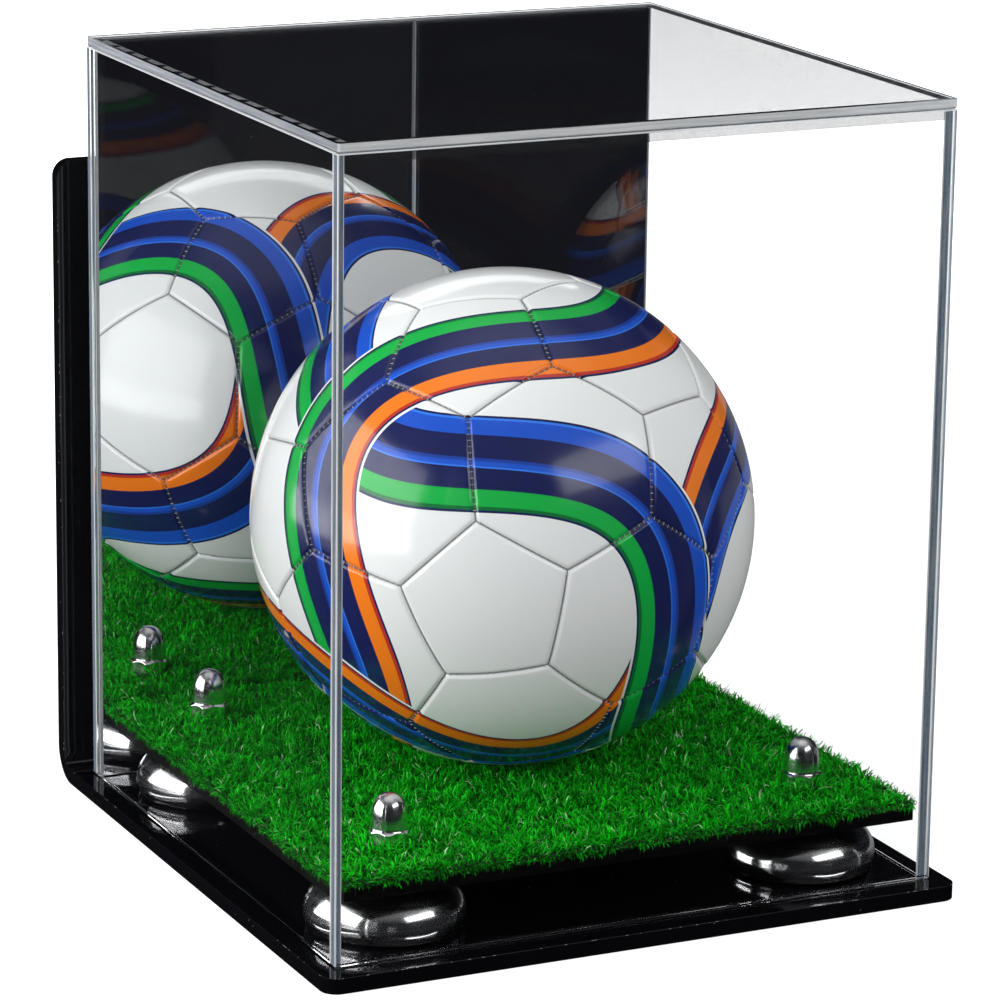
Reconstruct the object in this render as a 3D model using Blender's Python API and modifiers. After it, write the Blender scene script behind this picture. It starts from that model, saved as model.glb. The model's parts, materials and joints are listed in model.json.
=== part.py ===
"""Wall-mounted display case for a soccer ball.

A black acrylic sheet, bent into an L, is the base and the wall plate. Four
turned chrome risers hold a turfed platform above it, clamped by flat-head
bolts and cap nuts. A clear acrylic cover with a mirror in its back stands over
the platform, and the ball rests in the turf.

Metres, +Z up, front towards -Y. The origin is the centre of the footprint, on
the surface that the case stands on.
"""

import math
import random

import bmesh
import bpy
from mathutils import Matrix, Vector

# Fit between pieces that touch, and how far a cutter runs past a face
GAP = 0.0003
OVERRUN = 0.002

# Clear cover: outer size, walls, mirror and the break on its polished edges
COVER_WIDTH = 0.285
COVER_DEPTH = 0.285
COVER_HEIGHT = 0.348
WALL = 0.0045
MIRROR_THICKNESS = 0.003
POLISHED_EDGE = 0.0004

# Black sheet, bent into base and wall plate
SHEET = 0.0070
SIDE_MARGIN = 0.0085
FRONT_MARGIN = 0.0115
COVER_TO_PLATE = 0.017
BEND_RADIUS = 0.009
PLATE_HEIGHT = 0.2882
FRONT_CORNER_RADIUS = 0.0075
TOP_CORNER_RADIUS = 0.008
SHEET_EDGE_BREAK = 0.0006
WALL_SCREW_RADIUS = 0.0026
WALL_SCREW_SIDE_INSET = 0.045
WALL_SCREW_TOP_INSET = 0.032
WALL_SCREW_SPACING = 0.180

# Turned riser
RISER_HEIGHT = 0.0259
RISER_RADIUS = 0.0332
RISER_FOOT_RADIUS = 0.0294
RISER_TOP_RADIUS = 0.0115
RISER_WIDEST_HEIGHT = 0.0056
RISER_BEAD_DEPTH = 0.0004
RISER_DOME_POWER_SHARE = 1.7
RISER_LIP_SHARE = 0.75
RISER_TUCK_SHARE = 0.8

# Bolt and cap nut
BOLT_RADIUS = 0.0039
BOLT_HEAD_RADIUS = 0.0078
BOLT_HEAD_LAND = 0.0006
BOLT_ENGAGEMENT = 0.0125
BOLT_EDGE_INSET = 0.0365
NUT_ACROSS_FLATS = 0.0156
NUT_HEIGHT = 0.0240
NUT_DOME_RADIUS = 0.0076
NUT_DOME_HEIGHT = 0.0084
NUT_SKIRT_HEIGHT = 0.0046
NUT_FLARE_HEIGHT = 0.0039
NUT_FLARE_SHARES = ((0, 1), (0.25, 0.5), (1, 0))
NUT_CHAMFER = 0.0006
NUT_TURN_DEGREES = {"front_left": 3, "front_right": 28, "rear_left": 55, "rear_right": 14}

# Platform board and turf mat
PLATFORM_CLEARANCE = 0.0018
BOARD = 0.0055
MAT_BACKING = 0.0022
BLADE_LENGTH = 0.0060
SHORTEST_BLADE = 0.0025
BLADE_WIDTH = 0.0036
TUFTS_ACROSS = 21
TUFTS_DEEP = 21
BLADE_JITTER_SHARE = 0.16
BLADE_LEAN_SHARE = 0.26
BLADE_LENGTH_SHARES = (0.82, 1.0)
BLADE_TO_BALL = 0.0006
BLADE_TO_NUT = 0.0030
TURF_SEED = 11

# Ball
BALL_RADIUS = 0.111
BALL_SKIN = 0.0045
SEAM_HALF_WIDTH = 0.0021
SEAM_DEPTH = 0.0014
VALVE_RADIUS = 0.0012
VALVE_SINK_RADIUS = 0.0042
VALVE_SINK_DEPTH = 0.0006
BALL_TURN_DEGREES = (14, -31, 22)

# Facets of a full turn and of a bend or rounded corner
TURN_STEPS = 32
NUT_TURN_STEPS = 24
SMALL_TURN_STEPS = 20
NEEDLE_TURN_STEPS = 8
HEXAGON_SIDES = 6
BEND_STEPS = 8
CORNER_STEPS = 6
RISER_DOME_STEPS = 9
RISER_TUCK_STEPS = 3
NUT_DOME_STEPS = 7
PANEL_CUT_STEPS = 2
SMOOTH_ANGLE = math.radians(35)
BREAK_ANGLE = math.radians(60)
SCREW_MERGE = 0.00002
THIRD_PERCENT = 100 / 3

# Sizes and places that follow from those above
BASE_WIDTH = COVER_WIDTH + 2 * SIDE_MARGIN
BASE_DEPTH = FRONT_MARGIN + COVER_DEPTH + COVER_TO_PLATE + SHEET
BASE_FRONT = -BASE_DEPTH / 2
COVER_Y = BASE_FRONT + FRONT_MARGIN + COVER_DEPTH / 2
PLATE_FACE_Y = BASE_DEPTH / 2 - SHEET
BASE_TOP = SHEET
COVER_BOTTOM = BASE_TOP + GAP
COVER_TOP = BASE_TOP + COVER_HEIGHT

RISER_BOTTOM = BASE_TOP + GAP
BOARD_BOTTOM = RISER_BOTTOM + RISER_HEIGHT + GAP
BOARD_TOP = BOARD_BOTTOM + BOARD
MAT_BOTTOM = BOARD_TOP + GAP
MAT_TOP = MAT_BOTTOM + MAT_BACKING
NUT_BOTTOM = MAT_TOP + GAP
NUT_CORNER_RADIUS = NUT_ACROSS_FLATS / math.sqrt(3)

INNER_FRONT = COVER_Y - COVER_DEPTH / 2 + WALL
INNER_BACK = COVER_Y + COVER_DEPTH / 2 - WALL - GAP - MIRROR_THICKNESS
PLATFORM_WIDTH = COVER_WIDTH - 2 * WALL - 2 * PLATFORM_CLEARANCE
PLATFORM_DEPTH = INNER_BACK - INNER_FRONT - 2 * PLATFORM_CLEARANCE
PLATFORM_Y = (INNER_FRONT + INNER_BACK) / 2
BOLT_X = PLATFORM_WIDTH / 2 - BOLT_EDGE_INSET
BOLT_Y = PLATFORM_DEPTH / 2 - BOLT_EDGE_INSET
BALL_CENTRE = Vector((0, PLATFORM_Y, MAT_TOP + GAP + BALL_RADIUS))
BOLT_PLACES = {
    "front_left": (-BOLT_X, PLATFORM_Y - BOLT_Y),
    "front_right": (BOLT_X, PLATFORM_Y - BOLT_Y),
    "rear_left": (-BOLT_X, PLATFORM_Y + BOLT_Y),
    "rear_right": (BOLT_X, PLATFORM_Y + BOLT_Y),
}


def clear_scene():
    for obj in list(bpy.data.objects):
        bpy.data.objects.remove(obj, do_unlink=True)


def new_collection(name):
    collection = bpy.data.collections.new(name)
    bpy.context.scene.collection.children.link(collection)
    return collection


clear_scene()
PARTS = new_collection("soccer_ball_display_case")
CUTTERS = new_collection("cutters")
CUTTERS.hide_render = True


# Materials


def principled(name, colour, roughness, metallic=0.0, transmission=0.0):
    material = bpy.data.materials.new(name)
    material.use_nodes = True
    shader = material.node_tree.nodes["Principled BSDF"]
    shader.inputs["Base Color"].default_value = (*colour, 1.0)
    shader.inputs["Roughness"].default_value = roughness
    shader.inputs["Metallic"].default_value = metallic
    shader.inputs["Transmission Weight"].default_value = transmission
    return material


BLACK_ACRYLIC = principled("black_acrylic", (0.003, 0.003, 0.004), 0.06)
CLEAR_ACRYLIC = principled("clear_acrylic", (0.96, 0.98, 0.98), 0.02, transmission=1.0)
MIRROR = principled("mirror_acrylic", (0.86, 0.87, 0.88), 0.01, metallic=1.0)
CHROME = principled("polished_chrome", (0.78, 0.78, 0.80), 0.08, metallic=1.0)
STEEL = principled("zinc_plated_steel", (0.56, 0.56, 0.57), 0.32, metallic=1.0)
BLACK_BOARD = principled("black_board", (0.006, 0.006, 0.007), 0.35)
TURF = principled("green_turf", (0.012, 0.165, 0.010), 0.55)
BALL_SKIN_MATERIAL = principled("white_ball_skin", (0.80, 0.81, 0.84), 0.18)


# Shared ways of making solids


def add_object(name, mesh, material=None, collection=PARTS, location=(0, 0, 0)):
    obj = bpy.data.objects.new(name, mesh)
    obj.location = location
    collection.objects.link(obj)
    if material is not None and not mesh.materials:
        mesh.materials.append(material)
    if collection is CUTTERS:
        obj.hide_render = True
        obj.display_type = "WIRE"
    return obj


def mesh_from(bm, name):
    mesh = bpy.data.meshes.new(name)
    bm.normal_update()
    bm.to_mesh(mesh)
    bm.free()
    return mesh


def smooth(mesh):
    mesh.shade_smooth()
    mesh.set_sharp_from_angle(angle=SMOOTH_ANGLE)


def box_mesh(name, size):
    bm = bmesh.new()
    bmesh.ops.create_cube(bm, size=1, matrix=Matrix.Diagonal((*size, 1)))
    return mesh_from(bm, name)


def rod_mesh(name, radius, length, sides=SMALL_TURN_STEPS):
    bm = bmesh.new()
    bmesh.ops.create_cone(
        bm, cap_ends=True, segments=sides, radius1=radius, radius2=radius, depth=length
    )
    return mesh_from(bm, name)


def turned_mesh(name, profile, steps=TURN_STEPS, ring=False):
    """A solid of revolution about Z from (radius, height) points, listed down its outer side."""
    bm = bmesh.new()
    corners = [bm.verts.new((radius, 0, height)) for radius, height in profile]
    for upper, lower in zip(corners, corners[1:]):
        bm.edges.new((upper, lower))
    if ring:
        bm.edges.new((corners[-1], corners[0]))
    rough = bpy.data.objects.new(name, mesh_from(bm, name))
    bpy.context.scene.collection.objects.link(rough)
    screw = rough.modifiers.new("turn", "SCREW")
    screw.steps = steps
    screw.render_steps = steps
    screw.use_merge_vertices = True
    screw.merge_threshold = SCREW_MERGE
    return baked_mesh(rough, name)


def baked_mesh(obj, name):
    """The object's evaluated mesh; the object itself is removed."""
    graph = bpy.context.evaluated_depsgraph_get()
    graph.update()
    mesh = bpy.data.meshes.new_from_object(obj.evaluated_get(graph), depsgraph=graph)
    mesh.name = name
    bpy.data.objects.remove(obj, do_unlink=True)
    return mesh


def cut(obj, cutter, operation="DIFFERENCE"):
    boolean = obj.modifiers.new(cutter.name, "BOOLEAN")
    boolean.object = cutter
    boolean.operation = operation
    boolean.solver = "EXACT"


def soften_edges(obj, width):
    bevel = obj.modifiers.new("edge_break", "BEVEL")
    bevel.width = width
    bevel.segments = 1
    bevel.limit_method = "ANGLE"
    bevel.angle_limit = BREAK_ANGLE


def arc(centre_u, centre_v, radius, start_degrees, end_degrees, steps):
    for step in range(steps + 1):
        angle = math.radians(start_degrees + (end_degrees - start_degrees) * step / steps)
        yield centre_u + radius * math.cos(angle), centre_v + radius * math.sin(angle)


# Base and wall plate: a flat blank with round corners, folded about the bend


FLAT_LENGTH = PLATE_FACE_Y - BEND_RADIUS - BASE_FRONT
BEND_LENGTH = BEND_RADIUS * math.pi / 2
BLANK_LENGTH = FLAT_LENGTH + BEND_LENGTH + PLATE_HEIGHT - BEND_RADIUS


def folded(x, run):
    """The place on the sheet's inner face of a point of the blank, run metres from its front."""
    if run <= FLAT_LENGTH:
        return x, BASE_FRONT + run, BASE_TOP
    turned = min((run - FLAT_LENGTH) / BEND_RADIUS, math.pi / 2)
    rise = max(run - FLAT_LENGTH - BEND_LENGTH, 0)
    y = PLATE_FACE_Y - BEND_RADIUS + BEND_RADIUS * math.sin(turned)
    z = BASE_TOP + BEND_RADIUS - BEND_RADIUS * math.cos(turned) + rise
    return x, y, z


def blank_outline():
    right = BASE_WIDTH / 2
    front, top = FRONT_CORNER_RADIUS, TOP_CORNER_RADIUS
    yield from arc(right - front, front, front, -90, 0, CORNER_STEPS)
    yield from arc(right - top, BLANK_LENGTH - top, top, 0, 90, CORNER_STEPS)
    yield from arc(top - right, BLANK_LENGTH - top, top, 90, 180, CORNER_STEPS)
    yield from arc(front - right, front, front, 180, 270, CORNER_STEPS)


def bent_base():
    bm = bmesh.new()
    bm.faces.new([bm.verts.new((x, run, 0)) for x, run in blank_outline()])
    for step in range(BEND_STEPS + 1):
        bmesh.ops.bisect_plane(
            bm,
            geom=bm.verts[:] + bm.edges[:] + bm.faces[:],
            plane_co=(0, FLAT_LENGTH + BEND_LENGTH * step / BEND_STEPS, 0),
            plane_no=(0, 1, 0),
        )
    for vert in bm.verts:
        vert.co = folded(vert.co.x, vert.co.y)
    obj = add_object("wall_bracket_base", mesh_from(bm, "wall_bracket_base"), BLACK_ACRYLIC)
    sheet = obj.modifiers.new("sheet", "SOLIDIFY")
    sheet.thickness = SHEET
    sheet.offset = -1
    sheet.use_even_offset = True
    soften_edges(obj, SHEET_EDGE_BREAK)
    countersink = turned_mesh("bolt_hole", bolt_profile(GAP), SMALL_TURN_STEPS)
    for place, (x, y) in BOLT_PLACES.items():
        cut(obj, add_object(f"bolt_hole_{place}", countersink, None, CUTTERS, (x, y, 0)))
    through = rod_mesh("wall_screw_hole", WALL_SCREW_RADIUS, SHEET + 2 * OVERRUN)
    high = BASE_TOP + PLATE_HEIGHT - WALL_SCREW_TOP_INSET
    for side in (-1, 1):
        for height in (high, high - WALL_SCREW_SPACING):
            x = side * (BASE_WIDTH / 2 - WALL_SCREW_SIDE_INSET)
            place = (x, PLATE_FACE_Y + SHEET / 2, height)
            hole = add_object("wall_screw_hole", through, None, CUTTERS, place)
            hole.rotation_euler.x = math.radians(90)
            cut(obj, hole)
    smooth(obj.data)


# Risers, bolts and cap nuts


def bolt_profile(clearance):
    """Flat-head bolt, standing in the base; its clearance turns it into the hole's cutter."""
    shaft = BOLT_RADIUS + clearance
    head = BOLT_HEAD_RADIUS + clearance
    foot = -OVERRUN if clearance else GAP
    tip = BASE_TOP + OVERRUN if clearance else NUT_BOTTOM + BOLT_ENGAGEMENT
    land = GAP + BOLT_HEAD_LAND
    shoulder = land + BOLT_HEAD_RADIUS - BOLT_RADIUS
    chamfer = 0 if clearance else BOLT_HEAD_LAND
    tip_points = [(shaft - chamfer, tip)] if chamfer else []
    return [(0, tip), *tip_points, (shaft, tip - chamfer), (shaft, shoulder), (head, land),
            (head, foot), (0, foot)]


def riser_profile():
    """Ring section: flat top, dome down to the widest line, a bead, then a rounded foot."""
    bore = BOLT_RADIUS + GAP
    dome = RISER_HEIGHT - RISER_WIDEST_HEIGHT
    narrowing_share = (RISER_TOP_RADIUS / RISER_RADIUS) ** 2
    reach_share = (1 - narrowing_share) ** (1 / RISER_DOME_POWER_SHARE)
    points = [(bore, RISER_HEIGHT)]
    for step in range(RISER_DOME_STEPS + 1):
        turned = math.cos(math.pi / 2 * step / RISER_DOME_STEPS)
        share = reach_share * turned
        radius = RISER_RADIUS * math.sqrt(1 - share**RISER_DOME_POWER_SHARE)
        points.append((radius, RISER_WIDEST_HEIGHT + dome * turned))
    lip = RISER_WIDEST_HEIGHT * RISER_LIP_SHARE
    points.append((RISER_RADIUS - RISER_BEAD_DEPTH, lip))
    tuck = RISER_RADIUS - RISER_BEAD_DEPTH / 2 - RISER_FOOT_RADIUS
    tuck_top = lip * RISER_TUCK_SHARE
    for step in range(RISER_TUCK_STEPS + 1):
        angle = math.pi / 2 * step / RISER_TUCK_STEPS
        radius = RISER_FOOT_RADIUS + tuck * math.cos(angle)
        points.append((radius, tuck_top * (1 - math.sin(angle))))
    points.append((bore, 0))
    return points


def nut_profile():
    """Cap nut before its hexagon is cut: dome, straight neck, flare and skirt."""
    dome_base = NUT_HEIGHT - NUT_DOME_HEIGHT
    points = []
    for step in range(NUT_DOME_STEPS + 1):
        angle = math.pi / 2 * step / NUT_DOME_STEPS
        height = dome_base + NUT_DOME_HEIGHT * math.cos(angle)
        points.append((NUT_DOME_RADIUS * math.sin(angle), height))
    for out, up in NUT_FLARE_SHARES:
        radius = NUT_DOME_RADIUS + (NUT_CORNER_RADIUS - NUT_DOME_RADIUS) * out
        points.append((radius, NUT_SKIRT_HEIGHT + NUT_FLARE_HEIGHT * up))
    points.append((NUT_CORNER_RADIUS, NUT_CHAMFER))
    points.append((NUT_CORNER_RADIUS - NUT_CHAMFER, 0))
    points.append((0, 0))
    return points


def cap_nut_mesh():
    nut = bpy.data.objects.new("cap_nut", turned_mesh("cap_nut", nut_profile(), NUT_TURN_STEPS))
    bpy.context.scene.collection.objects.link(nut)
    tall = 2 * (NUT_HEIGHT + OVERRUN)
    hexagon = rod_mesh("nut_hexagon", NUT_CORNER_RADIUS, tall, HEXAGON_SIDES)
    cut(nut, add_object("nut_hexagon", hexagon, None, CUTTERS), "INTERSECT")
    depth = BOLT_ENGAGEMENT + GAP
    bore = rod_mesh("nut_bore", BOLT_RADIUS + GAP, 2 * depth)
    cut(nut, add_object("nut_bore", bore, None, CUTTERS))
    return baked_mesh(nut, "cap_nut")


def clamped_corners():
    """One riser, bolt and cap nut at each corner of the platform."""
    riser = turned_mesh("riser", riser_profile(), ring=True)
    bolt = turned_mesh("bolt", bolt_profile(0), SMALL_TURN_STEPS)
    nut = cap_nut_mesh()
    for mesh in (riser, bolt, nut):
        smooth(mesh)
    for place, (x, y) in BOLT_PLACES.items():
        add_object(f"riser_{place}", riser, CHROME, location=(x, y, RISER_BOTTOM))
        add_object(f"bolt_{place}", bolt, STEEL, location=(x, y, 0))
        turned = add_object(f"cap_nut_{place}", nut, CHROME, location=(x, y, NUT_BOTTOM))
        turned.rotation_euler.z = math.radians(NUT_TURN_DEGREES[place])


# Platform: board and turf mat


def bolt_cutters(height, bottom):
    shaft = rod_mesh("shaft_hole", BOLT_RADIUS + GAP, height + 2 * OVERRUN)
    for place, (x, y) in BOLT_PLACES.items():
        centre = (x, y, bottom + height / 2)
        yield add_object(f"shaft_hole_{place}", shaft, None, CUTTERS, centre)


def turf_board():
    size = (PLATFORM_WIDTH, PLATFORM_DEPTH, BOARD)
    centre = (0, PLATFORM_Y, (BOARD_BOTTOM + BOARD_TOP) / 2)
    board = add_object("turf_board", box_mesh("turf_board", size), BLACK_BOARD, location=centre)
    soften_edges(board, POLISHED_EDGE)
    for cutter in bolt_cutters(BOARD, BOARD_BOTTOM):
        cut(board, cutter)


def blade_room(x, y, reach):
    """Length that a blade may have here, under the ball's curve; none beside a nut."""
    nut_room = NUT_CORNER_RADIUS + BLADE_TO_NUT + reach
    for bolt_x, bolt_y in BOLT_PLACES.values():
        if math.hypot(x - bolt_x, y - bolt_y) < nut_room:
            return 0
    off_centre = max(math.hypot(x - BALL_CENTRE.x, y - BALL_CENTRE.y) - reach, 0)
    if off_centre >= BALL_RADIUS:
        return BLADE_LENGTH
    under_ball = BALL_CENTRE.z - math.sqrt(BALL_RADIUS**2 - off_centre**2) - MAT_TOP
    return min(BLADE_LENGTH, under_ball - BLADE_TO_BALL)


def turf_mat():
    """A slice of backing whose top is a grid of cells, most of them drawn up into a blade."""
    rng = random.Random(TURF_SEED)
    bm = bmesh.new()
    place = Matrix.Translation((0, PLATFORM_Y, MAT_TOP))
    spread = Matrix.Diagonal((PLATFORM_WIDTH / 2, PLATFORM_DEPTH / 2, 1, 1))
    bmesh.ops.create_grid(
        bm, x_segments=TUFTS_ACROSS, y_segments=TUFTS_DEEP, size=1, matrix=place @ spread
    )
    cells = bm.faces[:]
    edge = bmesh.ops.extrude_edge_only(bm, edges=[e for e in bm.edges if e.is_boundary])
    skirt = [item for item in edge["geom"] if isinstance(item, bmesh.types.BMVert)]
    bmesh.ops.translate(bm, verts=skirt, vec=(0, 0, -MAT_BACKING))
    bmesh.ops.holes_fill(bm, edges=[e for e in bm.edges if e.is_boundary])
    bmesh.ops.recalc_face_normals(bm, faces=bm.faces)

    cell = min(PLATFORM_WIDTH / TUFTS_ACROSS, PLATFORM_DEPTH / TUFTS_DEEP)
    reach = cell * (BLADE_JITTER_SHARE + BLADE_LEAN_SHARE)
    rooms = {}
    for face in cells:
        centre = face.calc_center_median()
        rooms[face] = blade_room(centre.x, centre.y, reach)
    grown = [face for face, room in rooms.items() if room >= SHORTEST_BLADE]
    lengths = [rooms[face] * rng.uniform(*BLADE_LENGTH_SHARES) for face in grown]
    inset = (cell - BLADE_WIDTH) / 2
    bmesh.ops.inset_individual(bm, faces=grown, thickness=inset, use_even_offset=True)
    for face, length in zip(grown, lengths):
        jitter = cell * BLADE_JITTER_SHARE
        shift = Vector((rng.uniform(-jitter, jitter), rng.uniform(-jitter, jitter), 0))
        turn = Matrix.Rotation(rng.uniform(0, math.pi / 2), 3, "Z")
        centre = face.calc_center_median()
        for vert in face.verts:
            vert.co = centre + shift + turn @ (vert.co - centre)
        lean = rng.uniform(0, 2 * math.pi)
        tip = cell * BLADE_LEAN_SHARE * rng.uniform(0, 1)
        top = bmesh.ops.poke(bm, faces=[face])["verts"][0]
        top.co += Vector((tip * math.cos(lean), tip * math.sin(lean), length))
    mat = add_object("turf_mat", mesh_from(bm, "turf_mat"), TURF)
    for cutter in bolt_cutters(MAT_BACKING, MAT_BOTTOM):
        cut(mat, cutter)


# Clear cover and its mirror, on an empty at the foot of the cover


def clear_cover():
    lift = bpy.data.objects.new("cover_lift_axis", None)
    lift.location = (0, COVER_Y, COVER_BOTTOM)
    PARTS.objects.link(lift)
    wall_height = COVER_TOP - WALL - GAP - COVER_BOTTOM
    side_depth = COVER_DEPTH - 2 * WALL - 2 * GAP
    lid_height = COVER_TOP - COVER_BOTTOM - WALL / 2
    back_face = COVER_DEPTH / 2 - WALL
    mirror_width = COVER_WIDTH - 2 * WALL - 2 * GAP
    panels = {
        "cover_front": ((COVER_WIDTH, WALL, wall_height), (0, WALL / 2 - COVER_DEPTH / 2)),
        "cover_back": ((COVER_WIDTH, WALL, wall_height), (0, COVER_DEPTH / 2 - WALL / 2)),
        "cover_left": ((WALL, side_depth, wall_height), (WALL / 2 - COVER_WIDTH / 2, 0)),
        "cover_right": ((WALL, side_depth, wall_height), (COVER_WIDTH / 2 - WALL / 2, 0)),
        "cover_top": ((COVER_WIDTH, COVER_DEPTH, WALL), (0, 0)),
        "mirror_sheet": (
            (mirror_width, MIRROR_THICKNESS, wall_height),
            (0, back_face - GAP - MIRROR_THICKNESS / 2),
        ),
    }
    for name, (size, (x, y)) in panels.items():
        z = lid_height if name == "cover_top" else wall_height / 2
        material = MIRROR if name == "mirror_sheet" else CLEAR_ACRYLIC
        panel = add_object(name, box_mesh(name, size), material, location=(x, y, z))
        panel.parent = lift
        soften_edges(panel, POLISHED_EDGE)


# Ball: thirty-two stitched panels on a hollow skin with a needle hole


def ball_mesh():
    bm = bmesh.new()
    bmesh.ops.create_icosphere(bm, subdivisions=1, radius=BALL_RADIUS)
    bmesh.ops.bevel(
        bm, geom=bm.verts[:], offset=THIRD_PERCENT, offset_type="PERCENT", affect="VERTICES"
    )
    on_seam = bm.verts.layers.float.new("on_seam")
    for vert in bm.verts:
        vert[on_seam] = 1
    panels = bm.faces[:]
    bmesh.ops.inset_individual(bm, faces=panels, thickness=SEAM_HALF_WIDTH, use_even_offset=True)
    for face in panels:
        for vert in face.verts:
            vert[on_seam] = 0
    for vert in bmesh.ops.poke(bm, faces=panels)["verts"]:
        vert[on_seam] = 0
    across_seam = {e for e in bm.edges if e.verts[0][on_seam] != e.verts[1][on_seam]}
    along = [e for e in bm.edges if e not in across_seam]
    bmesh.ops.subdivide_edges(bm, edges=along, cuts=PANEL_CUT_STEPS, use_grid_fill=True)
    for vert in bm.verts:
        vert.co = vert.co.normalized() * (BALL_RADIUS - SEAM_DEPTH * vert[on_seam])
    bmesh.ops.triangulate(bm, faces=bm.faces)
    bmesh.ops.recalc_face_normals(bm, faces=bm.faces)
    return mesh_from(bm, "soccer_ball")


def soccer_ball():
    ball = add_object("soccer_ball", ball_mesh(), BALL_SKIN_MATERIAL, location=BALL_CENTRE)
    ball.rotation_euler = [math.radians(angle) for angle in BALL_TURN_DEGREES]
    bm = bmesh.new()
    bmesh.ops.create_icosphere(bm, subdivisions=3, radius=BALL_RADIUS - BALL_SKIN)
    inside = add_object("ball_inside", mesh_from(bm, "ball_inside"), None, CUTTERS)
    through = 2 * (BALL_SKIN + OVERRUN)
    needle_hole = rod_mesh("needle_hole", VALVE_RADIUS, through, NEEDLE_TURN_STEPS)
    reach = BALL_RADIUS - BALL_SKIN
    needle = add_object("needle_hole", needle_hole, None, CUTTERS, (0, 0, -reach))
    sink_mesh = rod_mesh("valve_seat", VALVE_SINK_RADIUS, 2 * VALVE_SINK_DEPTH)
    sink = add_object("valve_seat", sink_mesh, None, CUTTERS, (0, 0, -BALL_RADIUS))
    for cutter in (inside, sink, needle):
        cutter.parent = ball
        cut(ball, cutter)
    smooth(ball.data)


bent_base()
clamped_corners()
turf_board()
turf_mat()
clear_cover()
soccer_ball()
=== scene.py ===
import json
import math

import bmesh
import bpy
import numpy as np
from mathutils import Matrix, Vector, noise

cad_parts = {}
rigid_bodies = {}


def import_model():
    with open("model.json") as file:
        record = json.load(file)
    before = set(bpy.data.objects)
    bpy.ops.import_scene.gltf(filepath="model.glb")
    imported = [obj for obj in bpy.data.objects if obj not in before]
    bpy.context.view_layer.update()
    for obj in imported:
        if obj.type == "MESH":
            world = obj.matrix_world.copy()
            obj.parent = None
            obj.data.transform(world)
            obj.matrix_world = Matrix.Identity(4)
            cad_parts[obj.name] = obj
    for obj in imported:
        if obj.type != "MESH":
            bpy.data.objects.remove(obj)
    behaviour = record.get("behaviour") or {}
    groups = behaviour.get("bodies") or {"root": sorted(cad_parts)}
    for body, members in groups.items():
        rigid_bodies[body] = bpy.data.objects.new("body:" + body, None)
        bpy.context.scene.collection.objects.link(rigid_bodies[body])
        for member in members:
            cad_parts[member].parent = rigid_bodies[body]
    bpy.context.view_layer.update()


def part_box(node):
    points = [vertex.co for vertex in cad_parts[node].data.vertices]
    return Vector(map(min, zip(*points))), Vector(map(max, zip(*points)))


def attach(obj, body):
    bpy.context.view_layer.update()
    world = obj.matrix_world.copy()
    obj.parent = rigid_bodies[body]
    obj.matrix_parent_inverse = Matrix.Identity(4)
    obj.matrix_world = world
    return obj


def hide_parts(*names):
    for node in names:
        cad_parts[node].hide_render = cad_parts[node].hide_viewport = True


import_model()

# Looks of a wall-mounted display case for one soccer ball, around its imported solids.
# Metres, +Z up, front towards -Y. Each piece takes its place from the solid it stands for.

MM = 0.001
CORNERS = ("front_left", "front_right", "rear_left", "rear_right")
BOLT_PLACES = {corner: [sum(ends) / 2 for ends in zip(*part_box(f"bolt_{corner}"))][:2]
               for corner in CORNERS}

# Camera, recovered from the photograph
CAMERA_PLACE = (-0.870017, -1.828197, 0.691269)
CAMERA_YAW, CAMERA_PITCH, CAMERA_ROLL = (math.radians(a) for a in (25.49, 14.76, 0.75))
CAMERA_LENS, CAMERA_SENSOR = 168.45, 36.0

# Bent black sheet
SHEET, BEND_RADIUS = 7.0 * MM, 9.0 * MM
FRONT_CORNER_RADIUS, TOP_CORNER_RADIUS = 7.5 * MM, 8.0 * MM
SHEET_EDGE_BREAK = 0.7 * MM
WALL_SCREW_RADIUS, WALL_SCREW_SPACING = 2.6 * MM, 180 * MM
WALL_SCREW_SIDE_INSET, WALL_SCREW_TOP_INSET = 45 * MM, 32 * MM
BEND_STEPS, CORNER_STEPS, BREAK_STEPS, HOLE_STEPS = 24, 16, 3, 48

# Cover
PANEL_EDGE_BREAK, MIRROR_EDGE_BREAK, GLUE_EDGE_BREAK = 0.6 * MM, 0.3 * MM, 0.02 * MM
LID_CORNER_RADIUS = 1.6 * MM
GLUE_GAP, GLUE_SQUEEZE, GLUE_INSET = 0.3 * MM, 1.5 * MM, 0.5 * MM
GLUE_FROM, GLUE_TO = 0.05 * MM, 0.12 * MM
DASH_PITCH = {"left": 18.5 * MM, "right": 14.0 * MM}
DASH_SIZE, DASH_ROUND = (5.5 * MM, 4.4 * MM, GLUE_GAP * 0.6), 4.4 * 0.4 * MM
DASH_FRONT_INSET, DASH_REAR_INSET = 8 * MM, 4 * MM
BAND_HEIGHT = 5.0 * MM
SIDE_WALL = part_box("cover_left")[1].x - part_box("cover_left")[0].x

# Riser, bolt and cap nut
RISER_HEIGHT, RISER_RADIUS = 25.9 * MM, 33.9 * MM
RISER_FOOT_RADIUS, RISER_TOP_RADIUS = 29.4 * MM, 11.5 * MM
RISER_BAND_TOP, RISER_BAND_FOOT, RISER_TUCK_TOP = 8.8 * MM, 2.6 * MM, 2.2 * MM
RISER_BAND_BULGE, RISER_TUCK_STEP = 0.5 * MM, 0.2 * MM
RISER_DOME_POWER = 1.7
BOLT_RADIUS, BOLT_HEAD_RADIUS, BOLT_HEAD_LAND = 3.9 * MM, 7.8 * MM, 0.6 * MM
SOCKET_RADIUS, SOCKET_WALL, SOCKET_DEPTH = 2.3 * MM, 3 * MM, 3.4 * MM
BORE_CLEARANCE = 0.3 * MM
NUT_ACROSS_FLATS, NUT_HEIGHT = 16.6 * MM, 24.0 * MM
NUT_BODY_RADIUS, NUT_BODY_HEIGHT = 7.9 * MM, 14.9 * MM
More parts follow.
